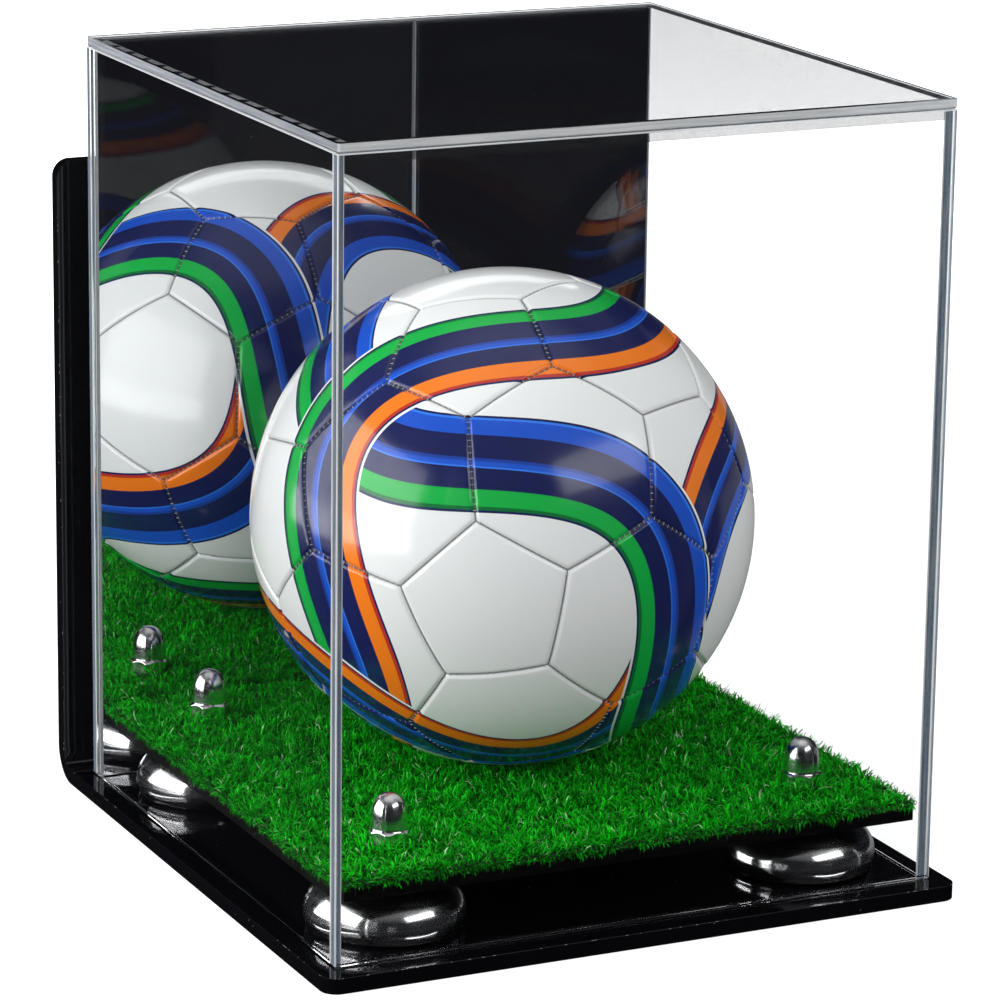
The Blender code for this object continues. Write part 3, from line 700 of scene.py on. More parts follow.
def bent_sheet(black, edge_with_painted_glints):
    low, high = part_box("wall_bracket_base")
    half_width, front = high.x, low.y
    plate_face = high.y - SHEET
    flat_length = plate_face - BEND_RADIUS - front
    bend_length = BEND_RADIUS * math.pi / 2
    blank_length = flat_length + bend_length + high.z - SHEET - BEND_RADIUS

    bm = bmesh.new()
    outline = []
    for side, at_top, start in ((1, False, -90), (1, True, 0), (-1, True, 90), (-1, False, 180)):
        radius = TOP_CORNER_RADIUS if at_top else FRONT_CORNER_RADIUS
        run = blank_length - radius if at_top else radius
        for step in range(CORNER_STEPS + 1):
            angle = math.radians(start + 90 * step / CORNER_STEPS)
            outline.append(bm.verts.new((side * (half_width - radius) + radius * math.cos(angle),
                                         run + radius * math.sin(angle), 0)))
    bm.faces.new(outline)
    for step in range(BEND_STEPS + 1):
        bmesh.ops.bisect_plane(
            bm, geom=bm.verts[:] + bm.edges[:] + bm.faces[:],
            plane_co=(0, flat_length + bend_length * step / BEND_STEPS, 0), plane_no=(0, 1, 0))
    for vert in bm.verts:
        x, run, _ = vert.co
        turned = min(max(run - flat_length, 0) / BEND_RADIUS, math.pi / 2)
        flat, rise = min(run, flat_length), max(run - flat_length - bend_length, 0)
        vert.co = (x, front + flat + BEND_RADIUS * math.sin(turned),
                   SHEET + BEND_RADIUS * (1 - math.cos(turned)) + rise)
    for face in bm.faces:
        face.smooth = True
    sheet = linked_object("sheet", mesh_from(bm))
    thicken = sheet.modifiers.new("sheet", "SOLIDIFY")
    thicken.thickness, thicken.offset, thicken.use_even_offset = SHEET, -1, True

    shaft, head = BOLT_RADIUS + BORE_CLEARANCE, BOLT_HEAD_RADIUS + BORE_CLEARANCE
    land = BORE_CLEARANCE + BOLT_HEAD_LAND
    bolt_hole = [(0, SHEET + MM), (shaft, SHEET + MM),
                 (shaft, land + BOLT_HEAD_RADIUS - BOLT_RADIUS), (head, land), (head, -MM),
                 (0, -MM)]
    holes = [lathe_mesh(bolt_hole, None, Vector((*place, 0)), HOLE_STEPS)
             for place in BOLT_PLACES.values()]
    screw_hole = [(0, SHEET), (WALL_SCREW_RADIUS, SHEET), (WALL_SCREW_RADIUS, -SHEET),
                  (0, -SHEET)]
    top = high.z - WALL_SCREW_TOP_INSET
    for side in (-1, 1):
        for height in (top, top - WALL_SCREW_SPACING):
            hole = lathe_mesh(screw_hole, steps=HOLE_STEPS)
            x = side * (half_width - WALL_SCREW_SIDE_INSET)
            hole.transform(Matrix.Translation((x, plate_face + SHEET / 2, height))
                           @ Matrix.Rotation(math.radians(90), 4, "X"))
            holes.append(hole)
    cutters = [linked_object("hole", hole) for hole in holes]
    for cutter in cutters:
        cut = sheet.modifiers.new("cut", "BOOLEAN")
        cut.object, cut.operation, cut.solver = cutter, "DIFFERENCE", "EXACT"
    # The broken edges take the second material, whose pale specks are painted highlights.
    for material in (black, edge_with_painted_glints):
        sheet.data.materials.append(material)
    break_edges(sheet, SHEET_EDGE_BREAK, 50).material = 1
    mesh = baked_mesh(sheet)
    for cutter in cutters:
        bpy.data.objects.remove(cutter, do_unlink=True)
    finished("bent_black_sheet", mesh, "case_base", "black_acrylic", "wall_bracket_base")


# Risers, bolts and cap nuts


def riser_profile(dome_steps=26, band_steps=8, tuck_steps=9):
    bore = BOLT_RADIUS + BORE_CLEARANCE
    narrowing = (RISER_TOP_RADIUS / RISER_RADIUS) ** 2
    reach = (1 - narrowing) ** (1 / RISER_DOME_POWER)
    points = [(bore, RISER_HEIGHT)]
    for step in range(dome_steps + 1):
        turned = max(math.cos(math.pi / 2 * step / dome_steps), 0)
        radius = (RISER_RADIUS - RISER_BAND_BULGE) * math.sqrt(
            1 - (reach * turned) ** RISER_DOME_POWER)
        points.append((radius, RISER_BAND_TOP + (RISER_HEIGHT - RISER_BAND_TOP) * turned))
    for step in range(1, band_steps + 1):
        share = step / band_steps
        bulge = RISER_BAND_BULGE * (4 * share * (1 - share) - share)
        points.append((RISER_RADIUS - RISER_BAND_BULGE + bulge,
                       RISER_BAND_TOP + (RISER_BAND_FOOT - RISER_BAND_TOP) * share))
    tuck = points[-1][0] - RISER_TUCK_STEP - RISER_FOOT_RADIUS
    for step in range(tuck_steps + 1):
        angle = math.pi / 2 * step / tuck_steps
        points.append((RISER_FOOT_RADIUS + tuck * math.cos(angle),
                       RISER_TUCK_TOP * (1 - math.sin(angle))))
    return [*points, (bore, 0)]


def nut_profile(dome_steps=22, flare_steps=8):
    corner, bore = NUT_CORNER_RADIUS, BOLT_RADIUS + BORE_CLEARANCE
    points = [(0, NUT_HEIGHT)]
    for step in range(1, dome_steps + 1):
        down = 1 - math.cos(math.pi / 2 * step / dome_steps)
        wide = (1 - (1 - down) ** NUT_DOME_SHOULDER) ** (1 / NUT_DOME_NOSE)
        points.append((NUT_BODY_RADIUS * wide, NUT_HEIGHT - NUT_BODY_HEIGHT * down))
    for step in range(1, flare_steps + 1):
        share = step / flare_steps
        points.append((NUT_BODY_RADIUS + (corner - NUT_BODY_RADIUS) * share**NUT_FLARE_POWER,
                       NUT_SKIRT_HEIGHT + NUT_FLARE_HEIGHT * (1 - share)))
    return [*points, *((corner, height) for height in NUT_SKIRT_ROWS), (corner, NUT_CHAMFER),
            (corner - NUT_CHAMFER, 0), (bore, 0), (bore, NUT_BORE_DEPTH), (0, NUT_BORE_DEPTH)]


def hexagon_limit(radius, angle):
    """Narrows a radius to the hexagon's flats with a small round where the two meet."""
    sixth = math.pi / 3
    flat = NUT_ACROSS_FLATS / 2 / math.cos((angle % sixth) - sixth / 2)
    blend = max(NUT_EDGE_ROUND - abs(radius - flat), 0) / NUT_EDGE_ROUND
    return min(radius, flat) - blend * blend * NUT_EDGE_ROUND / 4


def bolt_profile(low, high):
    return [(0, high), (BOLT_RADIUS - BOLT_HEAD_LAND, high),
            (BOLT_RADIUS, high - BOLT_HEAD_LAND),
            (BOLT_RADIUS, low + BOLT_HEAD_LAND + BOLT_HEAD_RADIUS - BOLT_RADIUS),
            (BOLT_HEAD_RADIUS, low + BOLT_HEAD_LAND), (BOLT_HEAD_RADIUS, low),
            (SOCKET_RADIUS, low), (SOCKET_RADIUS, low + SOCKET_WALL), (0, low + SOCKET_DEPTH)]


def clamped_corners(riser_chrome, nut_chrome, steel):
    for corner, (x, y) in BOLT_PLACES.items():
        riser = lathe_mesh(riser_profile(), riser_chrome,
                           Vector((x, y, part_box(f"riser_{corner}")[0].z)))
        finished(f"turned_riser_{corner}", riser, "case_base", "chrome", f"riser_{corner}")
        nut = lathe_mesh(nut_profile(), nut_chrome, limit=hexagon_limit)
        nut.transform(Matrix.Translation((x, y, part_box(f"cap_nut_{corner}")[0].z))
                      @ Matrix.Rotation(math.radians(NUT_TURN_DEGREES[corner]), 4, "Z"))
        finished(f"domed_nut_{corner}", nut, "case_base", "chrome", f"cap_nut_{corner}")
        low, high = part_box(f"bolt_{corner}")
        bolt = lathe_mesh(bolt_profile(low.z, high.z), steel, Vector((x, y, 0)), HOLE_STEPS)
        finished(f"flat_head_bolt_{corner}", bolt, "case_base", "zinc_steel", f"bolt_{corner}")


# Platform board and turf


def platform_board(material):
    mesh = edged_box(*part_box("turf_board"), BOARD_EDGE_BREAK, [material])
    finished("platform_board", mesh, "case_base", "black_board", "turf_board")


def blade_variants():
    """Short crimped blades that curl over, one unit long, in a collection of their own."""
    blades = bpy.data.collections.new("blade_variants")
    for number, (bend, curl, droop, width) in enumerate(BLADE_SHAPES):
        bm = bmesh.new()
        along = bm.verts.layers.float.new("along")

        def middle(share):
            return Vector((bend * share**2.2, curl * math.sin(2.6 * share) * share,
                           share - droop * share**3))

        rings = []
        for share in BLADE_RINGS:
            half = width / 2 * (1 - BLADE_TAPER * share**2)
            twist = Matrix.Rotation(curl * 3.0 * share, 3, "Z")
            ring = [bm.verts.new(middle(share) + twist @ Vector((x, y, 0)))
                    for x, y in ((0.0, half), (0.0, -half), (half * 0.6, 0.0))]
            for vert in ring:
                vert[along] = share
            rings.append(ring)
        tip = bm.verts.new(middle(1.0))
        tip[along] = 1.0
        bm.faces.new(rings[0])
        walls_between(bm, rings)
        for side in range(3):
            bm.faces.new((rings[-1][side], rings[-1][(side + 1) % 3], tip))
        smooth_closed(bm)
        blades.objects.link(bpy.data.objects.new(f"blade_{number}", mesh_from(bm)))
    return blades


def turf_tree():
    """Blades scattered over a carrier, whose attributes give their room and their lean."""
    put, given, out = group_tree(
        "GeometryNodeTree", "turf_blades",
        dict(Carrier="Geometry", Blades="Collection", Density="Float", Seed="Int",
             Material="Material"), {"Turf": "Geometry"})

    def chance(low, high, salt, kind="FLOAT"):
        first = 2 if kind == "FLOAT" else 4
        seed = put.math("ADD", given["Seed"], float(salt))
        return put("FunctionNodeRandomValue", {first: low, first + 1: high, 8: seed},
                   1 if kind == "FLOAT" else 2, data_type=kind)

    room = put("GeometryNodeInputNamedAttribute", {0: "room"}, data_type="FLOAT")
    lean = put("GeometryNodeInputNamedAttribute", {0: "lean"}, data_type="FLOAT_VECTOR")
    points = put("GeometryNodeDistributePointsOnFaces",
                 {"Mesh": given["Carrier"], "Density": given["Density"], "Seed": given["Seed"],
                  "Selection": put.math("GREATER_THAN", room, BLADE_NONE)})
    way = put.vector("ADD", lean, put.joined(x=chance(-1.2, 1.2, 1), y=chance(-1.2, 1.2, 2)))
    parts = put.parts(way)
    tilt = put.times(put.times(chance(0.1, 1.0, 3), 0.62),
                     put.math("ADD", 0.75, put.vector("LENGTH", lean, out="Value")))
    upright = put("FunctionNodeEulerToRotation",
                  {0: put.joined(y=tilt, z=put.math("ARCTAN2", parts[1], parts[0]))})
    length = put.math("MINIMUM", put.times(room, chance(0.55, 1.0, 4)), BLADE_LONGEST_AT_NUT)
    shaded = put("GeometryNodeStoreNamedAttribute",
                 {"Geometry": points, "Name": "shade", "Value": chance(0.0, 1.0, 5)},
                 data_type="FLOAT", domain="POINT")
    variants = put("GeometryNodeCollectionInfo", {0: given["Blades"], 1: True, 2: True})
    grown = put("GeometryNodeInstanceOnPoints",
                {"Points": shaded, "Instance": variants, "Pick Instance": True,
                 "Instance Index": chance(0, len(BLADE_SHAPES) - 1, 6, "INT"),
                 "Rotation": upright, "Scale": put.joined(x=length, y=length, z=length)})
    return realized(put, grown, given["Material"], out["Turf"])


def blade_room(x, y):
    """Length that a blade may have here: none in a nut, long beside it, short under the ball."""
    from_nut = min(math.hypot(x - nut_x, y - nut_y) for nut_x, nut_y in BOLT_PLACES.values())
    if from_nut < BLADE_KEEP_OUT:
        return 0.0
    if from_nut < NUT_TUFT_RADIUS:
        return BLADE_AT_NUT
    clump = noise.noise(Vector((x * PILE_CLUMPS, y * PILE_CLUMPS, 3.7)))
    short, long = BLADE_LENGTHS
    room = min(short + (long - short) * (0.55 + 0.9 * clump), BLADE_LONGEST)
    off_centre = math.hypot(x - BALL_CENTRE.x, y - BALL_CENTRE.y)
    if off_centre >= BALL_RADIUS:
        return room
    under = BALL_CENTRE.z - math.sqrt(BALL_RADIUS**2 - off_centre**2) - TURF_TOP
    return min(room, max(under * 1.6, BLADE_SHORTEST))


def blade_lean(x, y, low, high):
    """Slow drift of the pile, and outwards at the board's edge."""
    drift = PILE_LEAN * Vector((noise.noise(Vector((x * PILE_DRIFTS, y * PILE_DRIFTS, 0.3))),
                                noise.noise(Vector((x * PILE_DRIFTS, y * PILE_DRIFTS, 9.1))), 0))
    for axis, value in enumerate((x, y)):
        drift[axis] -= EDGE_LEAN * max(1 - (value - low[axis]) / EDGE_LEAN_REACH, 0)
        drift[axis] += EDGE_LEAN * max(1 - (high[axis] - value) / EDGE_LEAN_REACH, 0)
    return drift


def blade_layers(bm):
    return bm.verts.layers.float.new("room"), bm.verts.layers.float_vector.new("lean")


def turf_carrier(low, high, tile_low, tile_high):
    wide, deep = tile_high[0] - tile_low[0], tile_high[1] - tile_low[1]
    bm = bmesh.new()
    bmesh.ops.create_grid(bm, x_segments=max(int(wide / CARRIER_STEP), 1),
                          y_segments=max(int(deep / CARRIER_STEP), 1), size=0.5)
    room, lean = blade_layers(bm)
    for vert in bm.verts:
        x = tile_low[0] + (vert.co.x + 0.5) * wide
        y = tile_low[1] + (vert.co.y + 0.5) * deep
        vert.co = (x, y, TURF_TOP - CARRIER_INSET)
        vert[room], vert[lean] = blade_room(x, y), blade_lean(x, y, low, high)
    return linked_object("carrier", mesh_from(bm))


def fringe_carrier(low, high):
    """The mat's four side faces, from which blades hang out over the board's edge."""
    bm = bmesh.new()
    room, lean = blade_layers(bm)
    corners = [(low.x, low.y), (high.x, low.y), (high.x, high.y), (low.x, high.y)]
    for (x0, y0), (x1, y1) in zip(corners, corners[1:] + corners[:1]):
        length = math.hypot(x1 - x0, y1 - y0)
        outward = Vector(((y1 - y0) / length, (x0 - x1) / length, 0))
        count = int(length / FRINGE_STEP)
        rows = []
        for number in range(count + 1):
            x, y = x0 + (x1 - x0) * number / count, y0 + (y1 - y0) * number / count
            drift = noise.noise(Vector((x * FRINGE_DRIFTS, y * FRINGE_DRIFTS, 5.2)))
            rows.append([bm.verts.new((x, y, height))
                         for height in (low.z + CARRIER_INSET, TURF_TOP)])
            for vert in rows[-1]:
                vert[room] = FRINGE_LENGTH * (0.75 + 0.6 * drift)
                vert[lean] = outward * FRINGE_LEAN * (0.85 + 0.5 * drift)
        for (a0, a1), (b0, b1) in zip(rows, rows[1:]):
            bm.faces.new((a0, b0, b1, a1))
    return linked_object("carrier", mesh_from(bm))


def press_blades(mesh, low, high):
    """Keeps the blades out of the ball, the nuts and the cover, as those press them."""
    places = np.empty(len(mesh.vertices) * 3, np.float32)
    mesh.vertices.foreach_get("co", places)
    places = places.reshape(-1, 3)
    for axis in (0, 1):
        places[:, axis] = np.clip(places[:, axis], low[axis] - FRINGE_OVERHANG,
                                  high[axis] + FRINGE_OVERHANG)
    for nut in BOLT_PLACES.values():
        off = places[:, :2] - nut
        reach = np.linalg.norm(off, axis=1)
        clear = NUT_CORNER_RADIUS + NUT_CLEARANCE
        inside = reach < clear
        places[inside, :2] = nut + off[inside] / reach[inside, None] * clear
    off = places - np.array(BALL_CENTRE)
    clear = BALL_RADIUS + BLADE_TO_BALL
    inside = np.linalg.norm(off, axis=1) < clear
    sunk = np.sqrt(np.maximum(clear**2 - (off[inside, :2] ** 2).sum(1), 0))
    places[inside, 2] = BALL_CENTRE.z - sunk
    mesh.vertices.foreach_set("co", places.ravel())
    mesh.update()


def turf(blade_material, backing_material):
    low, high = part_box("turf_mat")
    backing = edged_box(low, Vector((high.x, high.y, TURF_TOP)), BOARD_EDGE_BREAK,
                        [backing_material])
    finished("turf_backing", backing, "case_base", "turf", "turf_mat")
    tree, variants, size = turf_tree(), blade_variants(), high - low
    across, deep = TURF_TILES
    carriers = {}
    for number in range(across * deep):
        column, row = number % across, number // across
        tile = [(low.x + size.x * (column + end) / across, low.y + size.y * (row + end) / deep)
                for end in (0, 1)]
        carriers[f"turf_blades_{number + 1}"] = turf_carrier(low, high, *tile)
    carriers["turf_fringe"] = fringe_carrier(low, high)
    for number, (name, carrier) in enumerate(carriers.items()):
        density = FRINGE_DENSITY if name == "turf_fringe" else BLADE_DENSITY
        mesh = instanced_mesh(carrier, tree, {
            "Blades": variants, "Density": density, "Seed": TURF_SEED + number,
            "Material": blade_material})
        for attribute in ("room", "lean"):
            if attribute in mesh.attributes:
                mesh.attributes.remove(mesh.attributes[attribute])
        press_blades(mesh, low, high)
        finished(name, mesh, "case_base", "turf", "turf_mat")
    for blade in list(variants.objects):
        bpy.data.objects.remove(blade, do_unlink=True)
    bpy.data.collections.remove(variants)


# Cover


def clear_cover(wall, lid, wall_edge, lid_edge, rim, sawn, mirror, backing):
    for side, thin_axis in (("front", 1), ("back", 1), ("left", 0), ("right", 0), ("top", 2)):
        low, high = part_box(f"cover_{side}")
        if side == "top":
            mesh = edged_box(low, high, PANEL_EDGE_BREAK, [lid, lid_edge, lid], thin_axis,
                             LID_CORNER_RADIUS)
            mesh.materials.append(sawn)
            for face in mesh.polygons:
                if face.material_index == 1 and abs(face.normal.x) > 0.8:
                    face.material_index = 3
        else:
            mesh = edged_box(low, high, PANEL_EDGE_BREAK, [wall, wall_edge, rim], thin_axis)
            for face in mesh.polygons:
                if face.center.z < low.z + 2 * PANEL_EDGE_BREAK and face.material_index == 2:
                    face.material_index = 0
        finished(f"clear_panel_{side}", mesh, "cover", "clear_acrylic", f"cover_{side}")
    mesh = edged_box(*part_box("mirror_sheet"), MIRROR_EDGE_BREAK, [mirror, backing], 1)
    for face in mesh.polygons:
        if face.normal.y > 0.5:
            face.material_index = 1
    finished("mirror_panel", mesh, "cover", "mirror", "mirror_sheet")


def joint_line(start, end):
    bm = bmesh.new()
    bm.edges.new((bm.verts.new(start), bm.verts.new(end)))
    return linked_object("joint", mesh_from(bm))


def rounded_patch():
    """A flat patch with round ends, about its own middle."""
    bm = bmesh.new()
    bmesh.ops.create_cube(bm, size=1, matrix=Matrix.Diagonal((*DASH_SIZE, 1)))
    round_corners(bm, 2, DASH_ROUND, 3)
    return mesh_from(bm)


def film_piece(name, low, high, material):
    mesh = edged_box(Vector(low), Vector(high), GLUE_EDGE_BREAK, [material])
    finished(name, mesh, "cover", "clear_acrylic")


def glue_dashes(material, lit_and_shaded_films):
    """Dark patches in a thin film of glue, between the lid and each side wall: painted shade
    where the glue has air gaps. The film is painted light on the left and shaded on the right.
    """
    tree = row_tree("glue_dashes", 0.75, 1.25, over_ball=False)
    wall_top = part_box("cover_left")[1].z
    for side, pitch in DASH_PITCH.items():
        low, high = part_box(f"cover_{side}")
        outer, inner = (low.x, high.x) if side == "left" else (high.x, low.x)
        inwards = math.copysign(1, inner - outer)
        ends = sorted((outer + inwards * GLUE_INSET, inner + inwards * GLUE_SQUEEZE))
        # Painted light on the left side's film, painted shade on the right's.
        film_piece(f"glue_film_{side}", (ends[0], low.y + GLUE_INSET, wall_top + GLUE_FROM),
                   (ends[1], high.y - GLUE_INSET, wall_top + GLUE_TO), lit_and_shaded_films[side])
        x, z = sum(ends) / 2, wall_top + GLUE_GAP / 2
        line = joint_line((x, low.y + DASH_FRONT_INSET, z), (x, high.y - DASH_REAR_INSET, z))
        # Dashes painted dark, as shade where the glue has air gaps.
        mesh = row_mesh(line, tree, rounded_patch(), pitch, 5, material)
        finished(f"glue_dashes_{side}", mesh, "cover", "clear_acrylic")


def painted_shade_band(material):
    """A faint grey band behind the front panel's top: painted shade where the lid's thickness
    shows through the front panel.
    """
    low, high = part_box("cover_front")
    film_piece("glue_band_front",
               (low.x + SIDE_WALL, high.y + GLUE_FROM, high.z - BAND_HEIGHT),
               (high.x - SIDE_WALL, high.y + GLUE_TO, high.z - GLUE_GAP), material)


# Ball


def panel_corners():
    """The ball's 32 panels as (centre direction, corner directions in order round it), its
    seams as pairs of ends, and the turn they were given."""
    bm = bmesh.new()
    bmesh.ops.create_icosphere(bm, subdivisions=1, radius=1)
    bmesh.ops.bevel(bm, geom=bm.verts[:], offset=100 / 3, offset_type="PERCENT",
                    affect="VERTICES")
    turn = Matrix.Identity(3)
    for angle, axis in zip(BALL_TURN_DEGREES, "XYZ"):
        turn = Matrix.Rotation(math.radians(angle), 3, axis) @ turn
    panels = []
    for face in bm.faces:
        corners = [turn @ vert.co for vert in face.verts]
        centre = sum(corners, Vector()) / len(corners)
        panels.append((np.array(centre.normalized()), [np.array(c) for c in corners]))
    seams = [[turn @ vert.co for vert in edge.verts] for edge in bm.edges]
    bm.free()
    return panels, seams, turn


def stitched_ball(skin, thread, rubber):
    panels, seams, turn = panel_corners()
    along = np.linspace(0, 1, PANEL_STEPS + 1)[:, None]
    outward = np.array(PANEL_RINGS)[:, None, None]
    places, faces, from_seam = [], [], []
    for centre, corners in panels:
        for first, second in zip(corners, corners[1:] + corners[:1]):
            middle = centre * np.linalg.norm((first + second) / 2)
            grid = middle + ((first + (second - first) * along)[None] - middle) * outward
            grid /= np.linalg.norm(grid, axis=2, keepdims=True)
            normal = np.cross(first, second)
            normal /= np.linalg.norm(normal)
            flat = grid.reshape(-1, 3)
            start = len(places)
            places += [centre, *flat]
            from_seam += [1.0, *(np.abs(np.arcsin(np.clip(flat @ normal, -1, 1)))
                                 * BALL_RADIUS)]
            for step in range(PANEL_STEPS):
                faces.append((start, start + 1 + step, start + 2 + step))
                for ring in range(len(PANEL_RINGS) - 1):
                    base = start + 1 + ring * (PANEL_STEPS + 1) + step
                    faces.append((base, base + PANEL_STEPS + 1, base + PANEL_STEPS + 2,
                                  base + 1))
    places, from_seam = np.array(places), np.array(from_seam)
    near = np.clip(1 - from_seam / SEAM_HALF_WIDTH, 0, 1)
    valve_way = turn @ Vector((0, 0, -1))
    from_valve = np.arccos(np.clip(places @ np.array(valve_way), -1, 1)) * BALL_RADIUS
    seat = np.clip((VALVE_SEAT_RADIUS - from_valve) / VALVE_SEAT_SLOPE, 0, 1)
    reach = (BALL_RADIUS - SEAM_DEPTH * near**SEAM_POWER
             - VALVE_SEAT_DEPTH * seat * seat * (3 - 2 * seat))
    mesh = bpy.data.meshes.new("stitched_ball")
    mesh.from_pydata((places * reach[:, None] + np.array(BALL_CENTRE)).tolist(), [], faces)
    layer = mesh.attributes.new("from_seam", "FLOAT", "POINT")
    layer.data.foreach_set("value", from_seam.astype(np.float32))
    bm = bmesh.new()
    bm.from_mesh(mesh)
    bmesh.ops.remove_doubles(bm, verts=bm.verts, dist=0.02 * MM)
    smooth_closed(bm)
    bm.to_mesh(mesh)
    bm.free()
    mesh.materials.append(skin)
    finished("stitched_ball", mesh, "ball", "ball_skin", "soccer_ball")
    seam_stitches(seams, thread)
    valve(valve_way, rubber)


def stitch_shape():
    """A short bowed thread across Y, its ends sunk in the panels on either side."""
    bm = bmesh.new()
    rings = []
    for share in (step / 5 * 2 - 1 for step in range(6)):
        height = STITCH_BOW * (1 - share * share) - STITCH_DIP
        rings.append([bm.verts.new((STITCH_RADIUS * math.cos(a), STITCH_REACH * share,
                                    height + STITCH_RADIUS * math.sin(a)))
                      for a in (math.pi / 3 * k for k in range(6))])
    walls_between(bm, rings)
    bm.faces.new(rings[0])
    bm.faces.new(rings[-1])
    smooth_closed(bm)
    return mesh_from(bm)


def seam_stitches(seams, material):
    bm = bmesh.new()
    for start, end in seams:
        row = []
        for step in range(SEAM_STEPS + 1):
            share = SEAM_END_GAP + (1 - 2 * SEAM_END_GAP) * step / SEAM_STEPS
            way = (start + (end - start) * share).normalized()
            row.append(bm.verts.new(way * (BALL_RADIUS - STITCH_SUNK)))
        for pair in zip(row, row[1:]):
            bm.edges.new(pair)
    tree = row_tree("seam_stitches", 0.85, 1.1, over_ball=True)
    mesh = row_mesh(linked_object("seams", mesh_from(bm)), tree, stitch_shape(), STITCH_PITCH,
                    3, material)
    mesh.transform(Matrix.Translation(BALL_CENTRE))
    finished("seam_stitches", mesh, "ball", "ball_skin")


def facing(place, way, axis):
    """The placing of a thing whose axis points that way."""
    return Matrix.Translation(place) @ way.to_track_quat(axis, "Y").to_matrix().to_4x4()


def valve(way, material):
    """The rubber valve, level with its seat, with a needle hole."""
    mesh = lathe_mesh(VALVE_PROFILE, material, steps=HOLE_STEPS)
    mesh.transform(facing(BALL_CENTRE + way * BALL_RADIUS, way, "Z"))
    finished("ball_valve", mesh, "ball", "ball_skin")


# Studio


def white_studio():
    """White to the camera, straight or through the clear panels, and plain soft light on the
    object. In its reflections the studio is dark, save for a grey ceiling."""
    world = bpy.data.worlds.new("studio")
    bpy.context.scene.world = world
    world.use_nodes = True
    world.node_tree.nodes.clear()
    world.cycles.sampling_method = "NONE"
    put = Wiring(world.node_tree)

    def background(colour, strength=1.0):
        return put("ShaderNodeBackground", {"Color": colour, "Strength": strength})

    height = put.parts(put("ShaderNodeTexCoord", out="Generated"))[2]
    dim = put.mix(put.mapped(height, 0.42, 0.75, smooth=True), STUDIO_DARK, STUDIO_CEILING)
    dim = put.mix(put.mapped(height, 0.80, 0.97, smooth=True), dim, STUDIO_ZENITH)
    put.join(put.by_ray(background((1, 1, 1)), background(dim), background((1, 1, 1), AMBIENT)),
             put("ShaderNodeOutputWorld", out=None).inputs["Surface"])


@finish
def pale_floor(put):
    """White to the camera, with the object's shadow. Reflections see it grey behind the
    object and to its right, and dark elsewhere, as under a black cloth."""
    place = put.parts(put.place())
    open_floor = put.times(put.mapped(place[0], -0.12, -0.06, smooth=True),
                           put.mapped(place[1], -0.13, -0.05, smooth=True))
    cloth = put.mix(open_floor, (0.008, 0.008, 0.010), (0.22, 0.22, 0.22))
    plain = put("ShaderNodeBsdfDiffuse", {"Color": (0.8, 0.8, 0.8)})
    matt = put("ShaderNodeBsdfDiffuse", {"Color": (0.16, 0.16, 0.16)})
    further = put.mapped(place[1], 0.45, 1.15, FLOOR_GLOW, FLOOR_GLOW_BEHIND, True)
    glow = put("ShaderNodeEmission", {"Color": (1, 1, 1), "Strength": further})
    shown = put("ShaderNodeAddShader", {0: plain, 1: glow})
    dark = put("ShaderNodeEmission", {"Color": cloth, "Strength": 1.0})
    return put.by_ray(shown, dark, matt)


def studio_floor(material):
    bm = bmesh.new()
    bmesh.ops.create_grid(bm, x_segments=4, y_segments=4, size=8,
                          matrix=Matrix.Translation((0, 0, -0.2 * MM)))
    floor = linked_object("studio_floor", mesh_from(bm))
    floor.data.materials.append(material)


def softbox(name, place, target, size, radiance):
    """An area lamp of the given radiance, which the camera doesn't see."""
    lamp = bpy.data.lights.new(name, "AREA")
    lamp.shape = "RECTANGLE"
    lamp.size, lamp.size_y = size
    lamp.energy = radiance * math.pi * size[0] * size[1]
    obj = linked_object(name, lamp)
    obj.matrix_world = facing(place, Vector(target) - Vector(place), "-Z")
    obj.visible_camera = False
    return obj


def photograph_camera():
    data = bpy.data.cameras.new("photograph_camera")
    data.lens, data.sensor_width = CAMERA_LENS, CAMERA_SENSOR
    data.clip_start, data.clip_end = 0.05, 60
    camera = linked_object("photograph_camera", data)
    camera.matrix_world = (Matrix.Translation(CAMERA_PLACE)
                           @ Matrix.Rotation(-CAMERA_YAW, 4, "Z")
                           @ Matrix.Rotation(math.pi / 2 - CAMERA_PITCH, 4, "X")
                           @ Matrix.Rotation(CAMERA_ROLL, 4, "Z"))
    bpy.context.scene.camera = camera


photograph_camera()
white_studio()
studio_floor(pale_floor())
softbox("left_softbox", (-1.30, 0.22, 0.13), (0, 0, 0.12), (1.7, 0.24), 2.4)
softbox("left_fill", (-1.30, 0.22, 0.44), (0, 0, 0.17), (1.7, 1.1), 3.1).visible_glossy = False
softbox("right_softbox", (0.66, -1.40, 1.10), (0, 0, 0.17), (1.4, 0.5), 2.4)

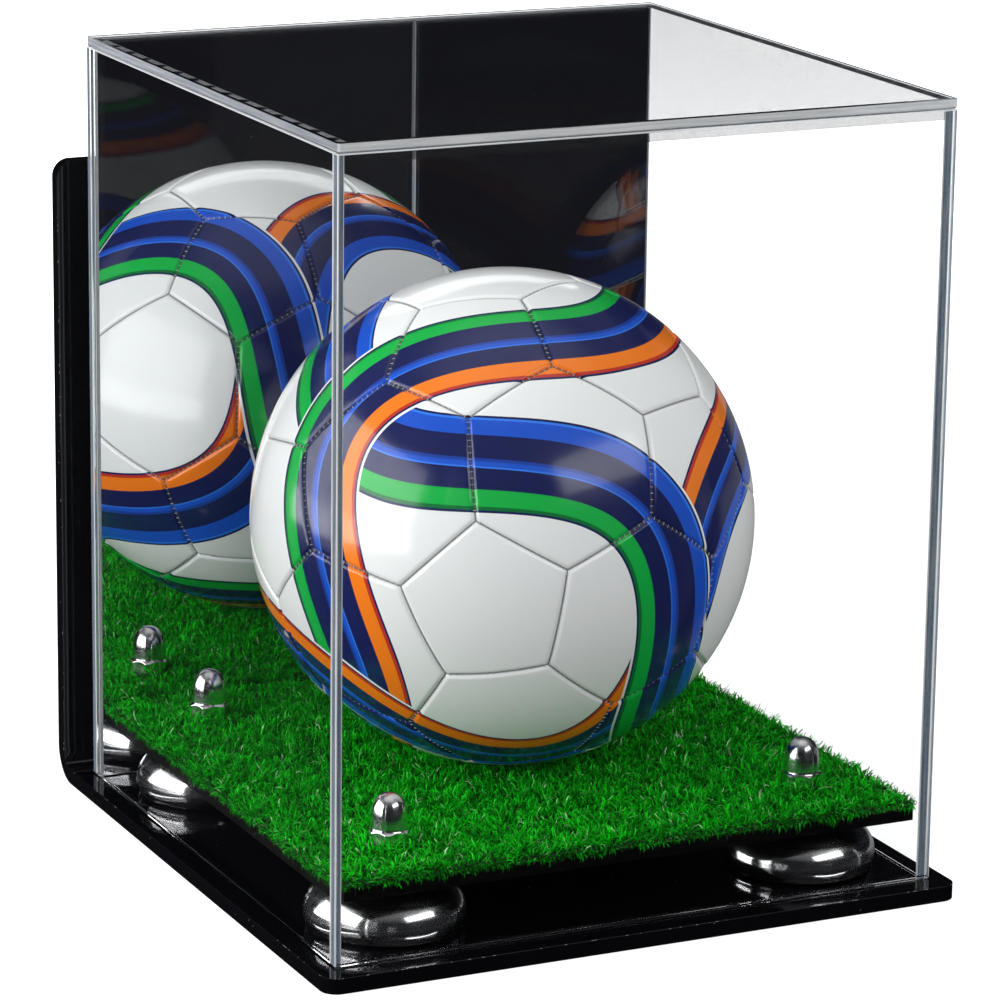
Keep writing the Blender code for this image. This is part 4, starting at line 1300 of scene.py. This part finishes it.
bent_sheet(black_acrylic(), black_edge_dust_and_painted_glints())
clamped_corners(turned_chrome(0.11, 0.19, 0.35, name="riser_chrome"),
                turned_chrome(0.12, 0.20, 0.75, name="nut_chrome"), zinc_plated_steel())
platform_board(black_board())
turf(turf_blade(), grained(900.0, (0.0005, 0.008, 0.0005), (0.002, 0.03, 0.002), 0.8, 3.0,
                           relief=0.8, depth=0.0005, name="turf_backing"))
clear_cover(
    clear_acrylic(1.32), clear_acrylic(1.40, name="clear_acrylic_lid"),
    # The edges' colours are painted reflections: bluish on the walls' edges, pale on the lid's
    # edges and the walls' bevels, where they paint a thin highlight, and grey on the lid's ends.
    polished_edge_painted_reflections(0.76, (0.36, 0.52, 0.74), (0.84, 0.92, 1.0), name="wall_edge"),
    polished_edge_painted_reflections(0.34, (0.76, 0.80, 0.83), (0.98, 0.99, 1.0), name="lid_edge"),
    polished_edge_painted_reflections(0.45, (0.86, 0.89, 0.92), (0.98, 0.99, 1.0), name="edge_rim"),
    polished_edge_painted_reflections(0.40, (0.34, 0.36, 0.41), (0.52, 0.55, 0.60), name="sawn_lid_edge"),
    mirror_face(), mirror_backing())
# Dark gaps painted as shade; the left film painted light, the right one shaded.
glue_dashes(
    grained(700.0, (0.006, 0.006, 0.008), (0.03, 0.03, 0.035), 0.25, name="dried_solvent"),
    {"left": grained(700.0, (0.36, 0.37, 0.39), (0.62, 0.63, 0.65), 0.25,
                     name="pale_glue_film"),
     "right": grained(700.0, (0.05, 0.055, 0.06), (0.14, 0.15, 0.16), 0.25,
                      name="dark_glue_film")})
# Painted shade: a faint dark film, partly clear, under the lid's front edge.
painted_shade_band(grained(90.0, (0.008, 0.008, 0.009), (0.02, 0.02, 0.022), 0.5, name="faint_glue",
                  Specular_IOR_Level=0.1, Alpha=0.40))
stitched_ball(
    printed_ball_skin(),
    grained(2600.0, (0.30, 0.31, 0.33), (0.72, 0.73, 0.75), 0.6, relief=0.5, depth=0.0001,
            name="stitch_thread"),
    grained(1500.0, (0.012, 0.012, 0.013), (0.04, 0.04, 0.04), 0.55, name="valve_rubber"))

bpy.context.scene.view_settings.view_transform = "Standard"
